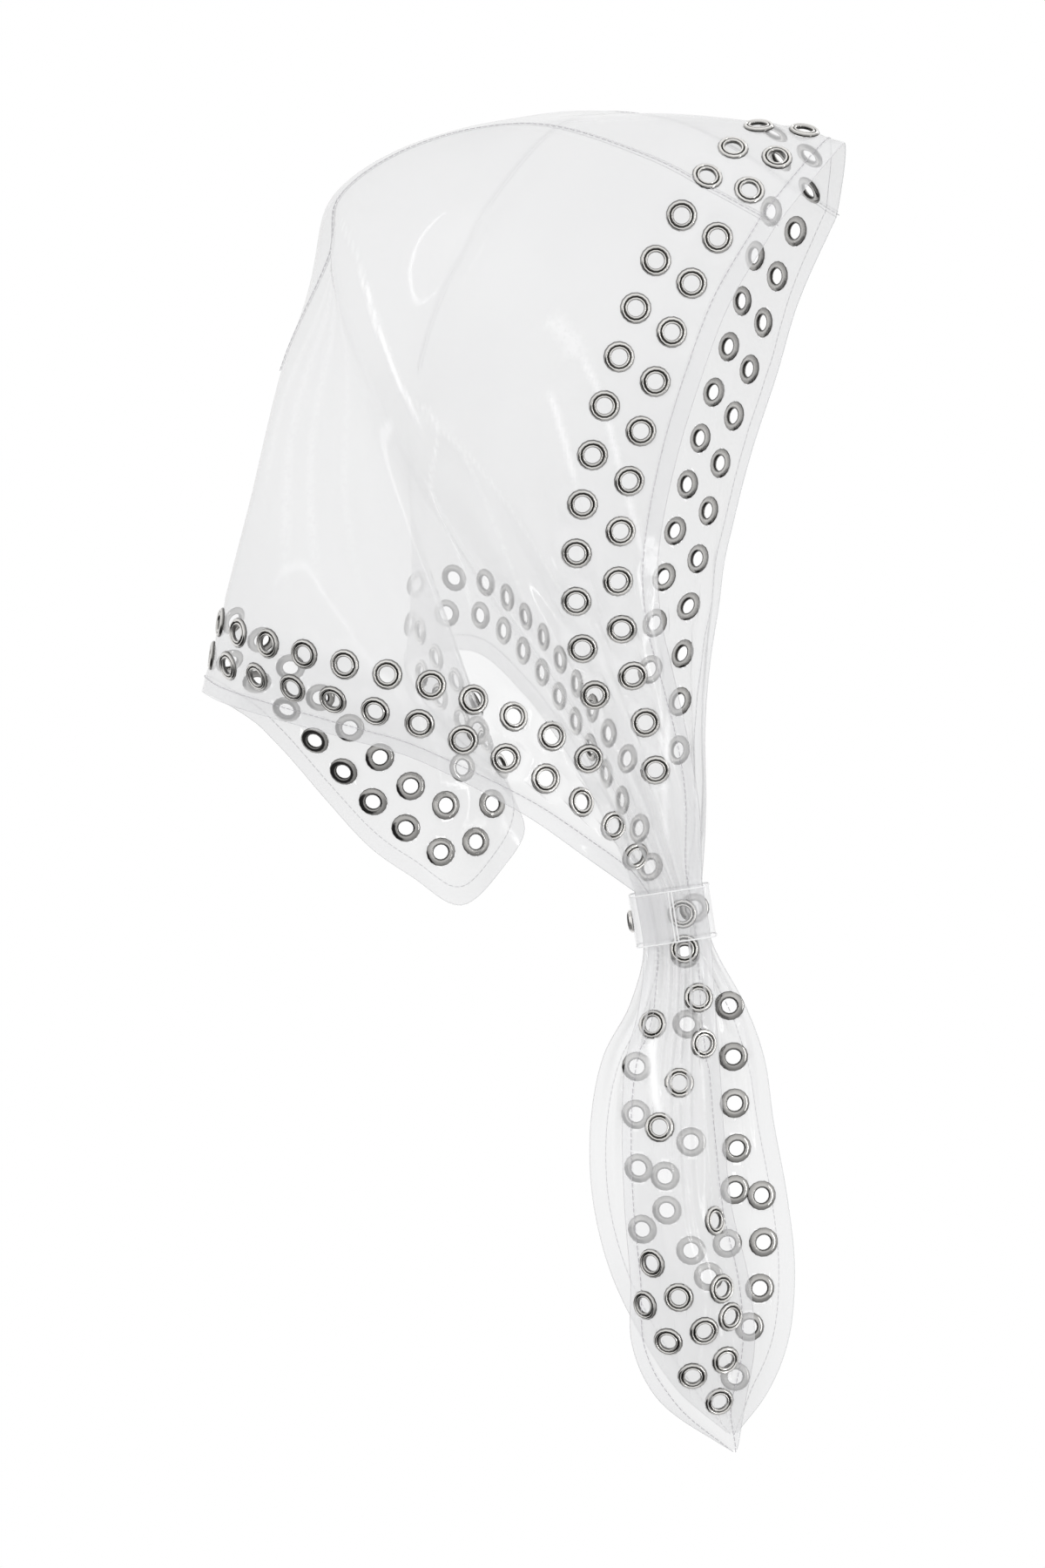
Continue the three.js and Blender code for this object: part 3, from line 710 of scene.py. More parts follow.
class Value:
    """A node's output socket, which can be used in sums."""

    def __init__(self, graph, socket):
        self.graph = graph
        self.socket = socket

    def _math(self, operation, other, swap=False):
        values = (other, self) if swap else (self, other)
        return self.graph.add("ShaderNodeMath", {"operation": operation}, dict(enumerate(values)))

    def __add__(self, other):
        return self._math("ADD", other)

    def __sub__(self, other):
        return self._math("SUBTRACT", other)

    def __rsub__(self, other):
        return self._math("SUBTRACT", other, swap=True)

    def __mul__(self, other):
        return self._math("MULTIPLY", other)

    def __pow__(self, other):
        return self._math("POWER", other)

    __radd__ = __add__
    __rmul__ = __mul__


class Graph:
    """A node tree that is written as code."""

    def __init__(self, tree):
        self.tree = tree
        tree.nodes.clear()

    def add(self, kind, settings=None, inputs=None, output=0):
        """An output of a new node of that kind, with its settings and its sockets' values or links."""
        node = self.tree.nodes.new(kind)
        for key, value in (settings or {}).items():
            setattr(node, key, value)
        for key, value in (inputs or {}).items():
            socket = node.inputs[key]
            if isinstance(value, Value):
                self.tree.links.new(value.socket, socket)
            else:
                socket.default_value = value
        return Value(self, node.outputs[output]) if node.outputs else node

    def more(self, value, output):
        """Another output of the same node."""
        return Value(self, value.socket.node.outputs[output])

    def ramp(self, value, stops):
        """A colour ramp with stops of (position, grey level)."""
        result = self.add("ShaderNodeValToRGB", None, {0: value})
        elements = result.socket.node.color_ramp.elements
        while len(elements) < len(stops):
            elements.new(0.5)
        for element, (position, level) in zip(elements, stops):
            element.position = position
            element.color = (level, level, level, 1)
        return result


def new_material(name):
    """A material and the graph of its nodes."""
    material = bpy.data.materials.new(name)
    material.use_nodes = True
    return material, Graph(material.node_tree)


def end_material(graph, surface):
    """Gives a material its finished shader."""
    graph.add("ShaderNodeOutputMaterial", None, {"Surface": surface})


def noise(graph, scale, detail, offset=(0, 0, 0)):
    """Noise of that many features to a metre in the object's own coordinates, from 0 to 1."""
    place = graph.add("ShaderNodeTexCoord", output="Object")
    moved = graph.add("ShaderNodeVectorMath", {"operation": "ADD"}, {0: place, 1: offset})
    return graph.add("ShaderNodeTexNoise", None, {"Vector": moved, "Scale": scale, "Detail": detail}, "Fac")


def attribute(graph, name):
    """The number that a piece's points carry under that name."""
    return graph.add("ShaderNodeAttribute", {"attribute_name": name}, output="Fac")


def bump(graph, strength, distance, height):
    """A normal that follows a height."""
    return graph.add("ShaderNodeBump", None, {"Strength": strength, "Distance": distance, "Height": height},
                     "Normal")


def shader(graph, kind, colour, **values):
    """A shader of one colour, or of a colour from other nodes, with its other sockets' values."""
    colour = colour if isinstance(colour, Value) else (*colour, 1)
    sockets = {name.replace("_", " "): value for name, value in values.items()}
    socket = "Base Color" if kind == "Principled" else "Color"
    return graph.add("ShaderNodeBsdf" + kind, None, {socket: colour, **sockets})


def mixed_shader(graph, share, first, second):
    """Between two shaders, that share of the second one."""
    return graph.add("ShaderNodeMixShader", None, {0: share, 1: first, 2: second})


def mixed_colour(graph, share, first, second):
    """Between two colours, that share of the second one."""
    first, second = (colour if isinstance(colour, Value) else (*colour, 1) for colour in (first, second))
    return graph.add("ShaderNodeMix", {"data_type": "RGBA"}, {0: share, 6: first, 7: second}, 2)


# How much the film covers where a crease is whitest, and what share it mirrors at the flattest slant.
WHITEST = 0.85
SLANT_SHINE = 0.8


def film_material(name, settings, veil=1.0, tint=1.0, shine=1.0, dusk_tint=0.93):
    """Clear film: it lets light through, veils what lies behind it and mirrors more at a slant."""
    material, graph = new_material(name)
    slow = noise(graph, scale=14, detail=1.0)
    waved = bump(graph, strength=0.3, distance=0.0010, height=slow * 0.4)
    facing = graph.add("ShaderNodeLayerWeight", None, {"Blend": 0.5, "Normal": waved}, "Facing")
    colour = [part * tint for part in settings.film_colour]
    clear = shader(graph, "Transparent", colour)
    dusk = shader(graph, "Transparent", [part * dusk_tint for part in colour])
    slanted = mixed_shader(graph, facing ** 4.0, clear, dusk)
    milk = shader(graph, "Principled", settings.veil_colour, Roughness=0.5, Specular_IOR_Level=0.0)
    # The creases' white is partly stress whitening and partly a painted highlight along them, with a jagged
    # edge from fine noise.
    whitened = attribute(graph, "whitened")
    rough = noise(graph, scale=420, detail=3.0, offset=(0.5, 0.5, 0.2))
    white_and_highlight_mask = whitened * graph.ramp(rough + whitened * 0.5, [(0.30, 0.45), (0.62, 1.0)])
    share = settings.film_veil * veil
    cloud = share * (0.94 + slow * 0.12) + (WHITEST - share) * white_and_highlight_mask
    veiled = mixed_shader(graph, cloud, slanted, milk)
    polished = shader(graph, "Principled", (1, 1, 1), Metallic=1.0, Roughness=0.07 + slow * 0.05,
                      Normal=waved)
    straight = settings.film_shine * shine
    mirror = straight + (SLANT_SHINE - straight) * facing ** 5.0
    end_material(graph, mixed_shader(graph, mirror, veiled, polished))
    return material


def thread_material(settings):
    """Fine clear sewing thread, with a faint twist."""
    material, graph = new_material("sewing_thread")
    place = graph.add("ShaderNodeTexCoord", output="Object")
    twist = graph.add("ShaderNodeTexWave", None, {
        "Scale": 900.0, "Distortion": 1.0, "Vector": place}, "Fac")
    twisted = bump(graph, strength=0.3, distance=0.0001, height=twist)
    end_material(graph, shader(graph, "Principled", settings.thread_colour,
                               Roughness=0.35 + twist * 0.1, Normal=twisted))
    return material


def metal_material(name, colour, roughness):
    """Polished plated metal with small differences in tone, fine rubbing marks and painted shade wherever a
    piece's points carry it.
    """
    material, graph = new_material(name)
    tone = noise(graph, scale=60, detail=3.0, offset=(0.9, 0.2, 0.4))
    tone = graph.ramp(tone, [(0.35, 0.0), (0.65, 1.0)])
    rub = noise(graph, scale=1900, detail=4.0)
    rubbed = bump(graph, strength=0.02, distance=0.00001, height=rub)
    darker = [part * 0.82 for part in colour]
    shades = mixed_colour(graph, tone, darker, colour)
    # Painted shade: where a piece's points carry it, the colour goes nearly black in place of the dark
    # reflections there.
    with_painted_shade = mixed_colour(graph, attribute(graph, "groove"), shades, (0.02, 0.019, 0.017))
    end_material(graph, shader(graph, "Principled", with_painted_shade, Metallic=1.0,
                               Roughness=roughness + rub * 0.06, Normal=rubbed))
    return material


def new_tree(name, inputs):
    """A geometry node tree with a geometry input and output and the other inputs given by name."""
    tree = bpy.data.node_groups.new(name, "GeometryNodeTree")
    tree.interface.new_socket("Geometry", in_out="INPUT", socket_type="NodeSocketGeometry")
    for label, kind in inputs.items():
        tree.interface.new_socket(label, in_out="INPUT", socket_type="NodeSocket" + kind)
    tree.interface.new_socket("Geometry", in_out="OUTPUT", socket_type="NodeSocketGeometry")
    graph = Graph(tree)
    start = graph.add("NodeGroupInput")
    return tree, graph, {label: graph.more(start, label) for label in ("Geometry", *inputs)}


def end_tree(graph, geometry, material):
    """Makes the tree's pieces one real mesh of that material."""
    real = graph.add("GeometryNodeRealizeInstances", None, {0: geometry})
    shaded = graph.add("GeometryNodeSetMaterial", None, {"Geometry": real, "Material": material})
    graph.add("NodeGroupOutput", None, {0: shaded})


def eyelet_tree():
    """Sets one eyelet on each point, along its normal, with a small lean and turn of its own."""
    tree, graph, given = new_tree("Eyelets On Points", {
        "Eyelet": "Object", "Lean": "Float", "Turn": "Float", "Seed": "Int", "Material": "Material"})
    eyelet = graph.add("GeometryNodeObjectInfo", None, {"Object": given["Eyelet"]}, "Geometry")
    normal = graph.add("GeometryNodeInputNamedAttribute", {"data_type": "FLOAT_VECTOR"}, {"Name": "facing"})
    upright = graph.add("FunctionNodeAlignRotationToVector", {"axis": "Z"}, {"Vector": normal})
    low, high = (graph.add("ShaderNodeCombineXYZ", None, {
        0: given["Lean"] * sign, 1: given["Lean"] * sign, 2: given["Turn"] * sign}) for sign in (-1, 1))
    own = graph.add("FunctionNodeRandomValue", {"data_type": "FLOAT_VECTOR"},
                    {0: low, 1: high, "Seed": given["Seed"]})
    lean = graph.add("FunctionNodeEulerToRotation", None, {0: own})
    turned = graph.add("FunctionNodeRotateRotation", {"rotation_space": "LOCAL"}, {0: upright, 1: lean})
    placed = graph.add("GeometryNodeInstanceOnPoints", None, {
        "Points": given["Geometry"], "Instance": eyelet, "Rotation": turned})
    end_tree(graph, placed, given["Material"])
    return tree


def stitch_tree():
    """Lays one stitch after another along a path."""
    tree, graph, given = new_tree("Stitches Along Path", {
        "Pitch": "Float", "Length": "Float", "Radius": "Float", "Material": "Material"})
    path = graph.add("GeometryNodeMeshToCurve", None, {0: given["Geometry"]})
    even = graph.add("GeometryNodeResampleCurve", {"mode": "LENGTH"}, {
        "Curve": path, "Length": given["Pitch"]})
    thread = graph.add("GeometryNodeMeshCylinder", None, {
        "Vertices": 6, "Side Segments": 3, "Radius": given["Radius"], "Depth": given["Length"]})
    tangent = graph.add("GeometryNodeInputTangent")
    turned = graph.add("FunctionNodeAlignRotationToVector", {"axis": "Z"}, {"Vector": tangent})
    placed = graph.add("GeometryNodeInstanceOnPoints", None, {
        "Points": even, "Instance": thread, "Rotation": turned})
    end_tree(graph, placed, given["Material"])
    return tree


def bead_tree():
    """Runs a round bead along a path."""
    tree, graph, given = new_tree("Bead Along Path", {"Radius": "Float", "Material": "Material"})
    path = graph.add("GeometryNodeMeshToCurve", None, {0: given["Geometry"]})
    ring = graph.add("GeometryNodeCurvePrimitiveCircle", None, {"Resolution": 8, "Radius": given["Radius"]})
    tube = graph.add("GeometryNodeCurveToMesh", None, {
        "Curve": path, "Profile Curve": ring, "Fill Caps": True})
    smooth = graph.add("GeometryNodeSetShadeSmooth", None, {0: tube})
    end_tree(graph, smooth, given["Material"])
    return tree


def run_tree(obj, tree, values):
    """Puts a tree on an object, gives it its inputs and keeps the mesh that it makes."""
    modifier = obj.modifiers.new(tree.name, "NODES")
    modifier.node_group = tree
    for item in tree.interface.items_tree:
        if item.in_out == "INPUT" and item.name in values:
            modifier[item.identifier] = values[item.name]
    depsgraph = bpy.context.evaluated_depsgraph_get()
    made = bpy.data.meshes.new_from_object(obj.evaluated_get(depsgraph), depsgraph=depsgraph)
    obj.modifiers.clear()
    points = obj.data
    obj.data = made
    bpy.data.meshes.remove(points)
    made.name = obj.name
    return obj


def finish_piece(obj, slot, *nodes):
    """Fixes a piece to the hood's body, in the place of the source's nodes; the slot is not used."""
    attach(obj, ROOT)
    if nodes:
        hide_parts(*nodes)


def film_panel(name, first, last, material):
    """A panel of film between two rows of the grid, with a hole under each eyelet."""
    points, normals, whites = hood_surface()
    holes = 1 - near_eyelets(points, *(EYELET["outer"] * share for share in EYELET["hole"]))
    centre = (holes[:-1, :-1] + holes[1:, :-1] + holes[1:, 1:] + holes[:-1, 1:]) / 4
    kept = [(r, c) for r in range(first, last) for c in range(COLUMNS) if centre[r, c] < 0.5]
    wide = COLUMNS + 1
    faces = [(r * wide + c, r * wide + c + 1, (r + 1) * wide + c + 1, (r + 1) * wide + c) for r, c in kept]
    used = sorted({i for face in faces for i in face})
    number = {old: new for new, old in enumerate(used)}
    faces = [tuple(number[i] for i in face) for face in faces]
    panel = new_object(name, points.reshape(-1, 3)[used], faces, normals=normals.reshape(-1, 3)[used],
                       material=material)
    # The creases' white, partly stress whitening and partly painted highlight.
    add_attribute(panel, "whitened", whites.reshape(-1)[used])
    return panel


def lay_strip(name, low, high, material):
    """The folded hem's second layer of film, between two columns of each row."""
    _, normals, _ = hood_surface()
    share = steps(HEM_FOLD["steps"])[None, :]
    column = low[:, None] * (1 - share) + high[:, None] * share
    row = np.repeat(ROWS[:, None].astype(float), HEM_FOLD["steps"] + 1, axis=1)
    place = raised(row, column, HEM_FOLD["lift"])
    out = sample(normals, row, column)
    return new_object(name, place.reshape(-1, 3), grid_faces(*row.shape), normals=out.reshape(-1, 3),
                      material=material)


def path_object(name, runs):
    """One mesh of open paths, each a list of points."""
    edges = []
    start = 0
    for run in runs:
        edges += [(start + i, start + i + 1) for i in range(len(run) - 1)]
        start += len(run)
    return new_object(name, np.concatenate(runs), edges=edges)


def seam_runs(offset, lift):
    """Paths along both crown seams, that far from the seam into the crown panel."""
    points, _, _ = hood_surface()
    runs = []
    columns = np.arange(0, int(SEAM_END * COLUMNS) + 1)
    for seam, way in ((RIGHT_SEAM, -1), (LEFT_SEAM, 1)):
        gap = np.linalg.norm(points[seam + way, columns] - points[seam, columns], axis=-1)
        runs.append(raised(seam + way * offset / np.maximum(gap, 1e-5), columns, lift))
    return runs


def border_runs():
    """Paths along the face edge and along the hem."""
    return [raised(ROWS, np.full(len(ROWS), column), 0) for column in (0, COLUMNS)]


def stitch_runs():
    """Paths inside the face edge and the hem, where they are stitched."""
    lines = [inset_columns(edge, HEM_FOLD["stitch"], HEM_FOLD["limit"]) for edge in (0, -1)]
    return [raised(ROWS, columns, HEM_FOLD["stitch_lift"]) for columns in lines]


def lathe(name, profile, around, place, closed=False):
    """A profile of (radius, height) turned round an axis; place puts a point of it in the frame."""
    points = [place(r * math.cos(2 * math.pi * i / around), r * math.sin(2 * math.pi * i / around), z)
              for i in range(around) for r, z in profile]
    count = len(profile)
    faces = []
    for i in range(around):
        here, there = i * count, (i + 1) % around * count
        faces += [(here + j, there + j, there + (j + 1) % count, here + (j + 1) % count)
                  for j in range(count if closed else count - 1)]
    return new_object(name, points, faces)


def eyelet_object():
    """One eyelet on the axis Z: a domed washer with a rolled barrel through it."""
    profile = [(radius * MM, height * MM) for radius, height, _ in EYELET_SECTION]
    eyelet = lathe("one_eyelet", profile, EYELET_AROUND, lambda x, y, z: (x, y, z), closed=True)
    # Each point carries the painted shade of its place in the section.
    add_attribute(eyelet, "groove", [dark for _, _, dark in EYELET_SECTION] * EYELET_AROUND)
    return eyelet


def band_outline():
    """Points round the band's level section, a rounded rectangle, anticlockwise and evenly spaced."""
    corner = BAND["corner"]
    x, y = BAND["width"] / 2 - corner, BAND["depth"] / 2 - corner
    loop = []
    for quarter, (middle_x, middle_y) in enumerate(((x, y), (-x, y), (-x, -y), (x, -y))):
        for k in range(BAND_CORNER_STEPS + 1):
            angle = math.pi / 2 * (quarter + k / BAND_CORNER_STEPS)
            loop.append((middle_x + corner * math.cos(angle), middle_y + corner * math.sin(angle)))
    points = np.array([*loop, loop[0]])
    run = running_length(points)
    wanted = np.linspace(0, run[-1], BAND_AROUND + 1)[:-1]
    return np.stack([np.interp(wanted, run, points[:, k]) for k in range(2)], axis=1)


def band_layer(name, lift, loop, closed, material):
    """A layer of the keeper band's film along a level loop, or a stretch of it, standing off it by lift."""
    half = BAND["height"] / 2
    across = loop[:, 0] * (1 + 2 * lift / BAND["width"])
    out = -1 * loop[:, 1] * (1 + 2 * lift / BAND["depth"])
    rows = []
    for level in np.linspace(-half, half, BAND_LEVELS):
        belly = 1 - BAND_BELLY * (1 - (level / half) ** 2)
        rows.append(band_point(across, out * belly, np.full(len(loop), level)))
    faces = grid_faces(BAND_LEVELS, len(loop), closed)
    return new_object(name, np.concatenate(rows), faces, material=material)


def weld_runs(outline):
    """Paths along the band's top and bottom edges and along the welds that close it."""
    loop = np.concatenate([outline, outline[:1]])
    half = BAND["height"] / 2
    count = WELDS["points"]
    runs = [band_point(loop[:, 0], -loop[:, 1], np.full(len(loop), level)) for level in (-half, half)]
    for across in WELDS["across"]:
        runs.append(band_point(np.full(count, across), np.full(count, BAND["depth"] / 2 * WELDS["out"]),
                               np.linspace(-half, half, count)))
    return runs


def on_band_end(x, y, z):
    """A place on the band's rear end, for a snap turned round an axis that points out of it."""
    return tuple(band_point(-BAND["width"] / 2 - SNAP_GAP - z, x, y))


class RainHoodSettings(bpy.types.PropertyGroup):
    """What a user may change before the pieces are made."""
    film_colour: bpy.props.FloatVectorProperty(
        name="Film colour", description="Colour of light after one layer of film", subtype="COLOR",
        default=(0.865, 0.865, 0.867), min=0, max=1)
    film_veil: bpy.props.FloatProperty(
        name="Film veil", description="Share of the film that glows softly with the light around it",
        default=0.36, min=0, max=1)
    veil_colour: bpy.props.FloatVectorProperty(
        name="Veil colour", description="Colour of the film's soft glow", subtype="COLOR",
        default=(0.90, 0.90, 0.905), min=0, max=1)
    film_shine: bpy.props.FloatProperty(
        name="Film shine", description="Share of light mirrored by film seen straight on",
        default=0.032, min=0, max=1)
    thread_colour: bpy.props.FloatVectorProperty(
        name="Thread colour", description="Colour of the sewing thread", subtype="COLOR",
        default=(0.42, 0.41, 0.43), min=0, max=1)
    metal_colour: bpy.props.FloatVectorProperty(
        name="Eyelet colour", description="Colour of the eyelets' plating", subtype="COLOR",
        default=(0.88, 0.865, 0.84), min=0, max=1)
    stitch_pitch: bpy.props.FloatProperty(
        name="Stitch pitch", description="Distance from one stitch to the next", unit="LENGTH",
        default=0.0031, min=0.001, max=0.02)
    stitch_length: bpy.props.FloatProperty(
        name="Stitch length", description="Length of one stitch", unit="LENGTH",
        default=0.0022, min=0.0005, max=0.02)
    thread_radius: bpy.props.FloatProperty(
        name="Thread radius", description="Radius of the sewing thread", unit="LENGTH",
        default=0.00019, min=0.00005, max=0.002)
    bead_radius: bpy.props.FloatProperty(
        name="Bead radius", description="Radius of the film's folded edges", unit="LENGTH",
        default=0.00022, min=0.00005, max=0.002)
    eyelet_lean: bpy.props.FloatProperty(
        name="Eyelet lean", description="How far an eyelet may lean from the film", subtype="ANGLE",
        default=math.radians(3), min=0, max=0.5)


class StageSettings(bpy.types.PropertyGroup):
    """What a user may change about the studio."""
    backdrop: bpy.props.FloatProperty(
        name="Backdrop", description="Brightness of the backdrop and floor", default=1.0, min=0, max=10)
    surroundings: bpy.props.FloatProperty(
        name="Surroundings", description="Brightness of what the film and metal mirror", default=1.0,
        min=0, max=10)
    key_power: bpy.props.FloatProperty(
        name="Key power", description="Power of the large soft lamp by the camera", unit="POWER",
        default=20, min=0, max=500)
    floor_level: bpy.props.FloatProperty(
        name="Floor level", description="Height of the floor", unit="LENGTH", default=-0.80, min=-5, max=0)


class HoodOperator:
    """Makes pieces with the hood's settings."""
    bl_options = {"REGISTER", "UNDO"}

    def execute(self, context):
        self.make(context.scene.rain_hood)
        return {"FINISHED"}


class OBJECT_OT_hood_film(HoodOperator, bpy.types.Operator):
    """Makes the crown panel and the two side panels of clear film"""
    bl_idname = "rain_hood.film"
    bl_label = "Film Panels"

    def make(self, settings):
        material = film_material("clear_film", settings)
        for name, first, last, node in (("crown_film", LEFT_SEAM, RIGHT_SEAM, "crown_panel"),
                                        ("right_side_film", RIGHT_SEAM, LAST_ROW, "right_side_panel"),
                                        ("left_side_film", 0, LEFT_SEAM, "left_side_panel")):
            finish_piece(film_panel(name, first, last, material), "film", node)


class OBJECT_OT_hood_hems(HoodOperator, bpy.types.Operator):
    """Makes the folded hems, and the beads along the film's edges and along the crown seams and their
    lapped edges
    """
    bl_idname = "rain_hood.hems"
    bl_label = "Hems and Seams"

    def make(self, settings):
        layer = film_material("hem_film", settings, veil=0.05, tint=1.156, shine=0.3, dusk_tint=1.0)
        bead = film_material("hem_edge_film", settings, veil=0.6, tint=1.05)
        face, back = (inset_columns(edge, HEM_FOLD["width"], HEM_FOLD["limit"]) for edge in (0, -1))
        finish_piece(lay_strip("face_hem", np.zeros(len(ROWS)), face, layer), "film")
        finish_piece(lay_strip("back_hem", back, np.full(len(ROWS), COLUMNS), layer), "film")
        tree = bead_tree()
        for name, runs in (("folded_edges", border_runs()),
                           ("crown_seams", seam_runs(0, 0) + seam_runs(SEAM["lap"], SEAM["lap_lift"]))):
            edges = path_object(name, runs)
            run_tree(edges, tree, {"Radius": settings.bead_radius, "Material": bead})
            finish_piece(edges, "film")


class OBJECT_OT_hood_stitches(HoodOperator, bpy.types.Operator):
    """Sews the hems and the crown seams, stitch by stitch"""
    bl_idname = "rain_hood.stitches"
    bl_label = "Stitches"

    def make(self, settings):
        stitches = path_object("stitches", stitch_runs() + seam_runs(SEAM["stitch"], SEAM["stitch_lift"]))
        run_tree(stitches, stitch_tree(), {
            "Pitch": settings.stitch_pitch, "Length": settings.stitch_length,
            "Radius": settings.thread_radius, "Material": thread_material(settings)})
        finish_piece(stitches, "film")


# The rows of eyelets that the source has too: the start of its nodes' names and how many there are.
EYELET_NODES = {"right_face": ("eyelet_right_", 12), "left_face": ("eyelet_left_", 12),
                "crown_front": ("eyelet_crown_", 5)}
# How far an eyelet may be turned either way on its own axis.
EYELET_TURN = 3.1


class OBJECT_OT_hood_eyelets(HoodOperator, bpy.types.Operator):
    """Sets the metal eyelets in rows along the face edge, the hem and the scarf ends"""
    bl_idname = "rain_hood.eyelets"
    bl_label = "Eyelets"

    def make(self, settings):
        points, normals = base_surface()
        metal = metal_material("eyelet_metal", settings.metal_colour, roughness=0.08)
        template = eyelet_object()
        tree = eyelet_tree()
        for seed, (group, spots) in enumerate(eyelet_spots().items()):
            eyelets = new_object(group + "_eyelets", sample(points, *spots.T))
            facing = eyelets.data.attributes.new("facing", "FLOAT_VECTOR", "POINT")
            facing.data.foreach_set("vector", sample(normals, *spots.T).ravel())
            run_tree(eyelets, tree, {"Eyelet": template, "Lean": settings.eyelet_lean, "Turn": EYELET_TURN,
                                     "Seed": seed, "Material": metal})
            eyelets.data.polygons.foreach_set("use_smooth", [True] * len(eyelets.data.polygons))
            stem, count = EYELET_NODES.get(group, ("", 0))
            finish_piece(eyelets, "eyelet_metal", *(f"{stem}{i + 1:02d}" for i in range(count)))
        bpy.data.objects.remove(template)


class OBJECT_OT_hood_band(HoodOperator, bpy.types.Operator):
    """Makes the keeper band of film with its welded edges, and the snap that closes it"""
    bl_idname = "rain_hood.band"
    bl_label = "Keeper Band"

    def make(self, settings):
        film = film_material("band_film", settings, veil=0.5, tint=1.15, dusk_tint=1.0, shine=1.6)
        # The welded edges are made much whiter than the band: a painted highlight along the band's edges.
        weld = film_material("band_edge_film", settings, veil=2.0, tint=1.1)
        outline = band_outline()
        finish_piece(band_layer("keeper_band_film", 0, outline, True, film), "film", "keeper_band")
        low, high = FLAP["across"]
        stretch = np.array(sorted((x, y) for x, y in outline if y < 0 and low <= x <= high))
        finish_piece(band_layer("keeper_band_flap", FLAP["lift"], stretch, False, film), "film")
        welds = path_object("keeper_band_edges", weld_runs(outline))
        run_tree(welds, bead_tree(), {"Radius": WELDS["radius"], "Material": weld})
        finish_piece(welds, "film")
        dark = metal_material("snap_metal", (0.03, 0.028, 0.026), roughness=0.25)
        bright = metal_material("snap_rim_metal", settings.metal_colour, roughness=0.12)
        for name, profile, metal, nodes in (("snap_dome", SNAP_DOME, dark, ["snap_cap"]),
                                            ("snap_rim", SNAP_RIM, bright, [])):
            piece = lathe(name, profile, SNAP_AROUND, on_band_end)
            piece.data.materials.append(metal)
            finish_piece(piece, "snap_metal", *nodes)


# The dark side of the studio that the metal mirrors: how far to the camera's left and how low it stands,
# and where it starts and is darkest, as the cosine of the angle from its middle.
DARK_WALL = {"left": math.radians(62), "low": math.radians(40), "edge": 0.76, "core": 0.86}
# Half the floor's width.
FLOOR_REACH = 6


def face_hood(obj, azimuth, elevation, distance):
    """Puts a lamp or the camera in the scene, at angles in radians and aimed at the hood's middle."""
    way = Vector((math.sin(azimuth) * math.cos(elevation), -math.cos(azimuth) * math.cos(elevation),
                  math.sin(elevation)))
    obj.location = Vector(VIEW["target"]) + way * distance
    obj.rotation_euler = way.to_track_quat("Z", "Y").to_euler()
    bpy.context.scene.collection.objects.link(obj)


def softbox(name, azimuth, elevation, distance, size, power):
    """A rectangular lamp at angles in degrees."""
    data = bpy.data.lights.new(name, "AREA")
    data.shape = "RECTANGLE"
    data.size, data.size_y = size
    data.energy = power
    lamp = bpy.data.objects.new(name, data)
    face_hood(lamp, math.radians(azimuth), math.radians(elevation), distance)
    return lamp


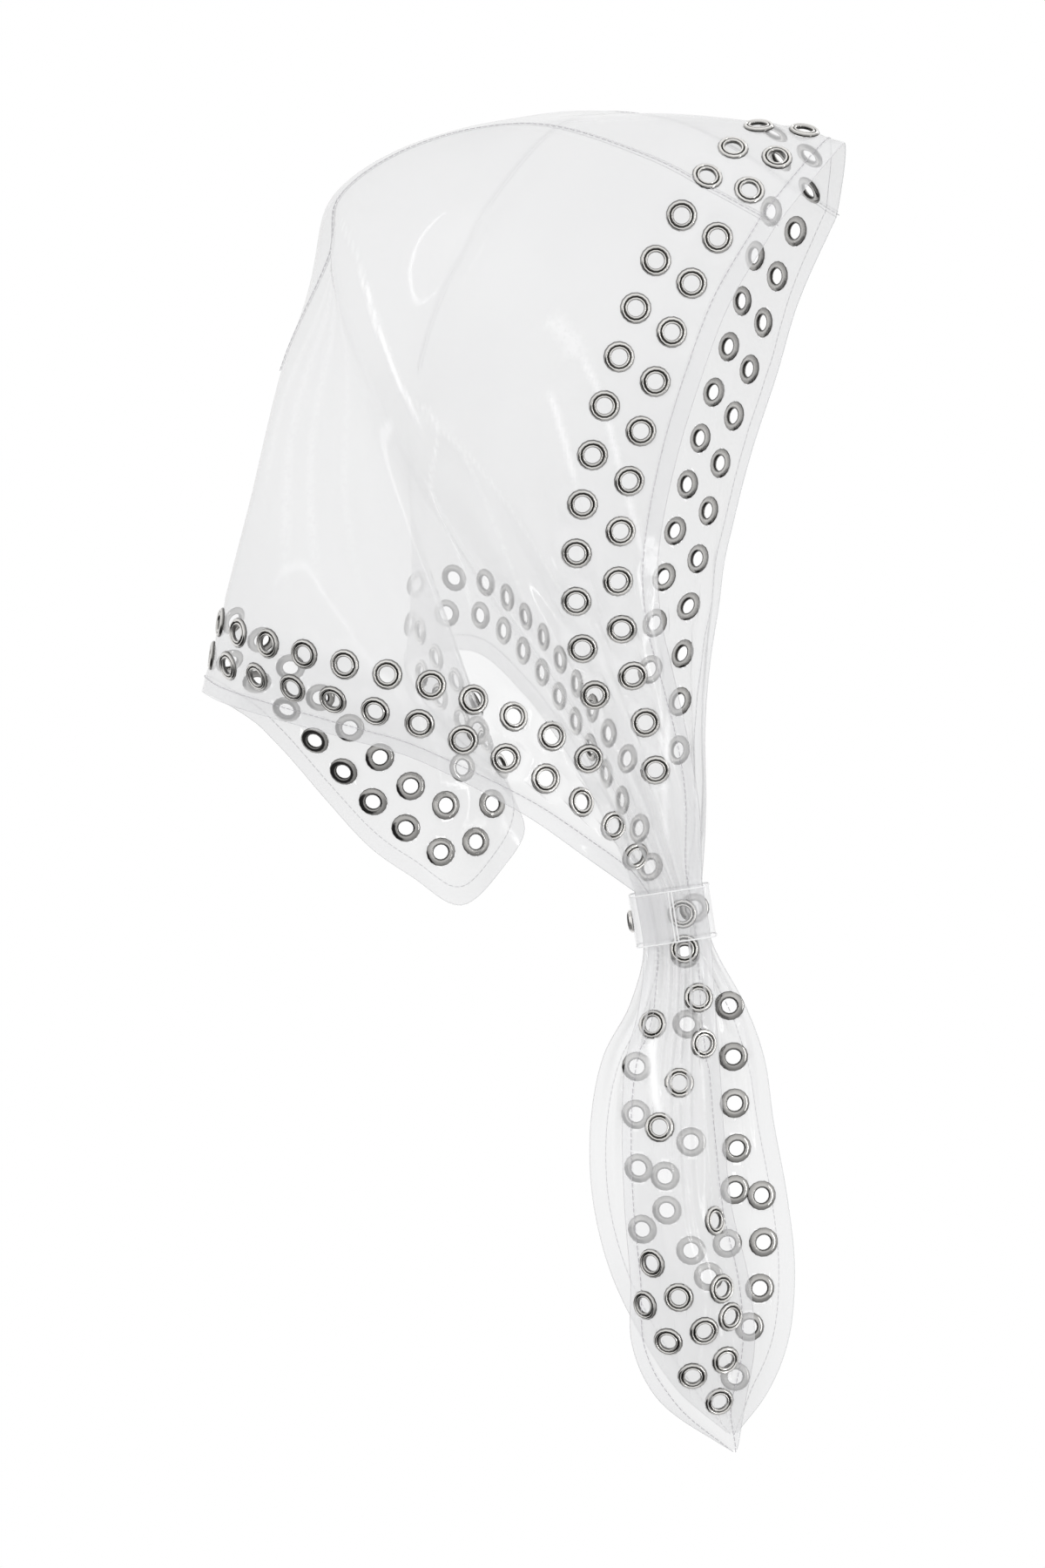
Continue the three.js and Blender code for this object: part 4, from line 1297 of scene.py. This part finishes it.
class OBJECT_OT_hood_stage(bpy.types.Operator):
    """Makes the studio: the camera, a white floor and backdrop, and the softboxes"""
    bl_idname = "rain_hood.stage"
    bl_label = "Studio"
    bl_options = {"REGISTER", "UNDO"}

    def execute(self, context):
        settings = context.scene.rain_hood_stage
        self.make_camera(context.scene)
        self.make_world(context.scene, settings)
        self.make_floor(settings)
        key = softbox("key_softbox", azimuth=-8, elevation=26, distance=2.3, size=(1.6, 1.6),
                      power=settings.key_power)
        key.visible_glossy = False
        softbox("face_strip", azimuth=80, elevation=-8, distance=2.3, size=(0.14, 1.8), power=6)
        softbox("rear_strip", azimuth=160, elevation=30, distance=2.4, size=(0.3, 1.6), power=6)
        return {"FINISHED"}

    def make_camera(self, scene):
        data = bpy.data.cameras.new("camera")
        data.lens = VIEW["lens"]
        data.sensor_width = 36
        camera = bpy.data.objects.new("camera", data)
        face_hood(camera, VIEW["azimuth"], VIEW["elevation"], VIEW["distance"])
        scene.camera = camera

    def make_world(self, scene, settings):
        """White to the camera and the film, and a room with a dark wall in what the metal mirrors"""
        world = bpy.data.worlds.new("studio")
        world.use_nodes = True
        scene.world = world
        graph = Graph(world.node_tree)
        mirrored = graph.add("ShaderNodeLightPath", output="Is Glossy Ray")
        way = graph.add("ShaderNodeSeparateXYZ", None,
                        {0: graph.add("ShaderNodeTexCoord", output="Generated")})
        east, north, height = (graph.more(way, axis) for axis in "XYZ")
        tone = graph.ramp(height * 0.5 + 0.5, [(0.0, 0.45), (0.30, 0.50), (0.44, 0.80), (0.56, 0.92),
                                               (0.70, 0.97), (1.0, 1.0)])
        behind = north * math.cos(VIEW["azimuth"]) - east * math.sin(VIEW["azimuth"])
        far = graph.ramp(behind * 0.5 + 0.5, [(0.50, 0.0), (0.72, 1.0)])
        turn = VIEW["azimuth"] - DARK_WALL["left"]
        level = (east * math.sin(turn) - north * math.cos(turn)) * math.cos(DARK_WALL["low"])
        dark = graph.ramp(level - height * math.sin(DARK_WALL["low"]),
                          [(DARK_WALL["edge"], 0.0), (DARK_WALL["core"], 1.0)])
        tone = mixed_colour(graph, far, tone, (0.95, 0.95, 0.95))
        tone = mixed_colour(graph, dark, tone, (0.03, 0.03, 0.03))
        white = graph.add("ShaderNodeBackground", None, {
            "Color": (1, 1, 1, 1), "Strength": settings.backdrop})
        room = graph.add("ShaderNodeBackground", None, {
            "Color": tone, "Strength": settings.surroundings})
        graph.add("ShaderNodeOutputWorld", None, {"Surface": mixed_shader(graph, mirrored, white, room)})
        scene.view_settings.view_transform = "Standard"
        scene.cycles.transparent_max_bounces = 32

    def make_floor(self, settings):
        corners = [(x * FLOOR_REACH, y * FLOOR_REACH, settings.floor_level)
                   for x, y in ((-1, -1), (1, -1), (1, 1), (-1, 1))]
        material, graph = new_material("white_floor")
        end_material(graph, graph.add("ShaderNodeEmission", None, {
            "Color": (1, 1, 1, 1), "Strength": settings.backdrop}))
        floor = new_object("floor", corners, [(0, 1, 2, 3)], material=material)
        floor.visible_glossy = False
        floor.visible_diffuse = False


OPERATORS = (OBJECT_OT_hood_stage, OBJECT_OT_hood_film, OBJECT_OT_hood_hems, OBJECT_OT_hood_stitches,
             OBJECT_OT_hood_eyelets, OBJECT_OT_hood_band)


class VIEW3D_PT_rain_hood(bpy.types.Panel):
    """Lists the hood's pieces and settings in the sidebar"""
    bl_label = "Rain Hood"
    bl_space_type = "VIEW_3D"
    bl_region_type = "UI"
    bl_category = "Rain Hood"

    def draw(self, context):
        for settings in (context.scene.rain_hood, context.scene.rain_hood_stage):
            for name in type(settings).__annotations__:
                self.layout.prop(settings, name)
        for operator in OPERATORS:
            self.layout.operator(operator.bl_idname)


CLASSES = (RainHoodSettings, StageSettings, *OPERATORS, VIEW3D_PT_rain_hood)


def register():
    for cls in CLASSES:
        bpy.utils.register_class(cls)
    bpy.types.Scene.rain_hood = bpy.props.PointerProperty(type=RainHoodSettings)
    bpy.types.Scene.rain_hood_stage = bpy.props.PointerProperty(type=StageSettings)


def unregister():
    del bpy.types.Scene.rain_hood_stage
    del bpy.types.Scene.rain_hood
    for cls in reversed(CLASSES):
        bpy.utils.unregister_class(cls)


def main():
    """Makes the studio and the hood piece by piece."""
    register()
    bpy.ops.rain_hood.stage()
    bpy.ops.rain_hood.film()
    bpy.ops.rain_hood.hems()
    bpy.ops.rain_hood.stitches()
    bpy.ops.rain_hood.eyelets()
    bpy.ops.rain_hood.band()


if __name__ == "__main__":
    main()
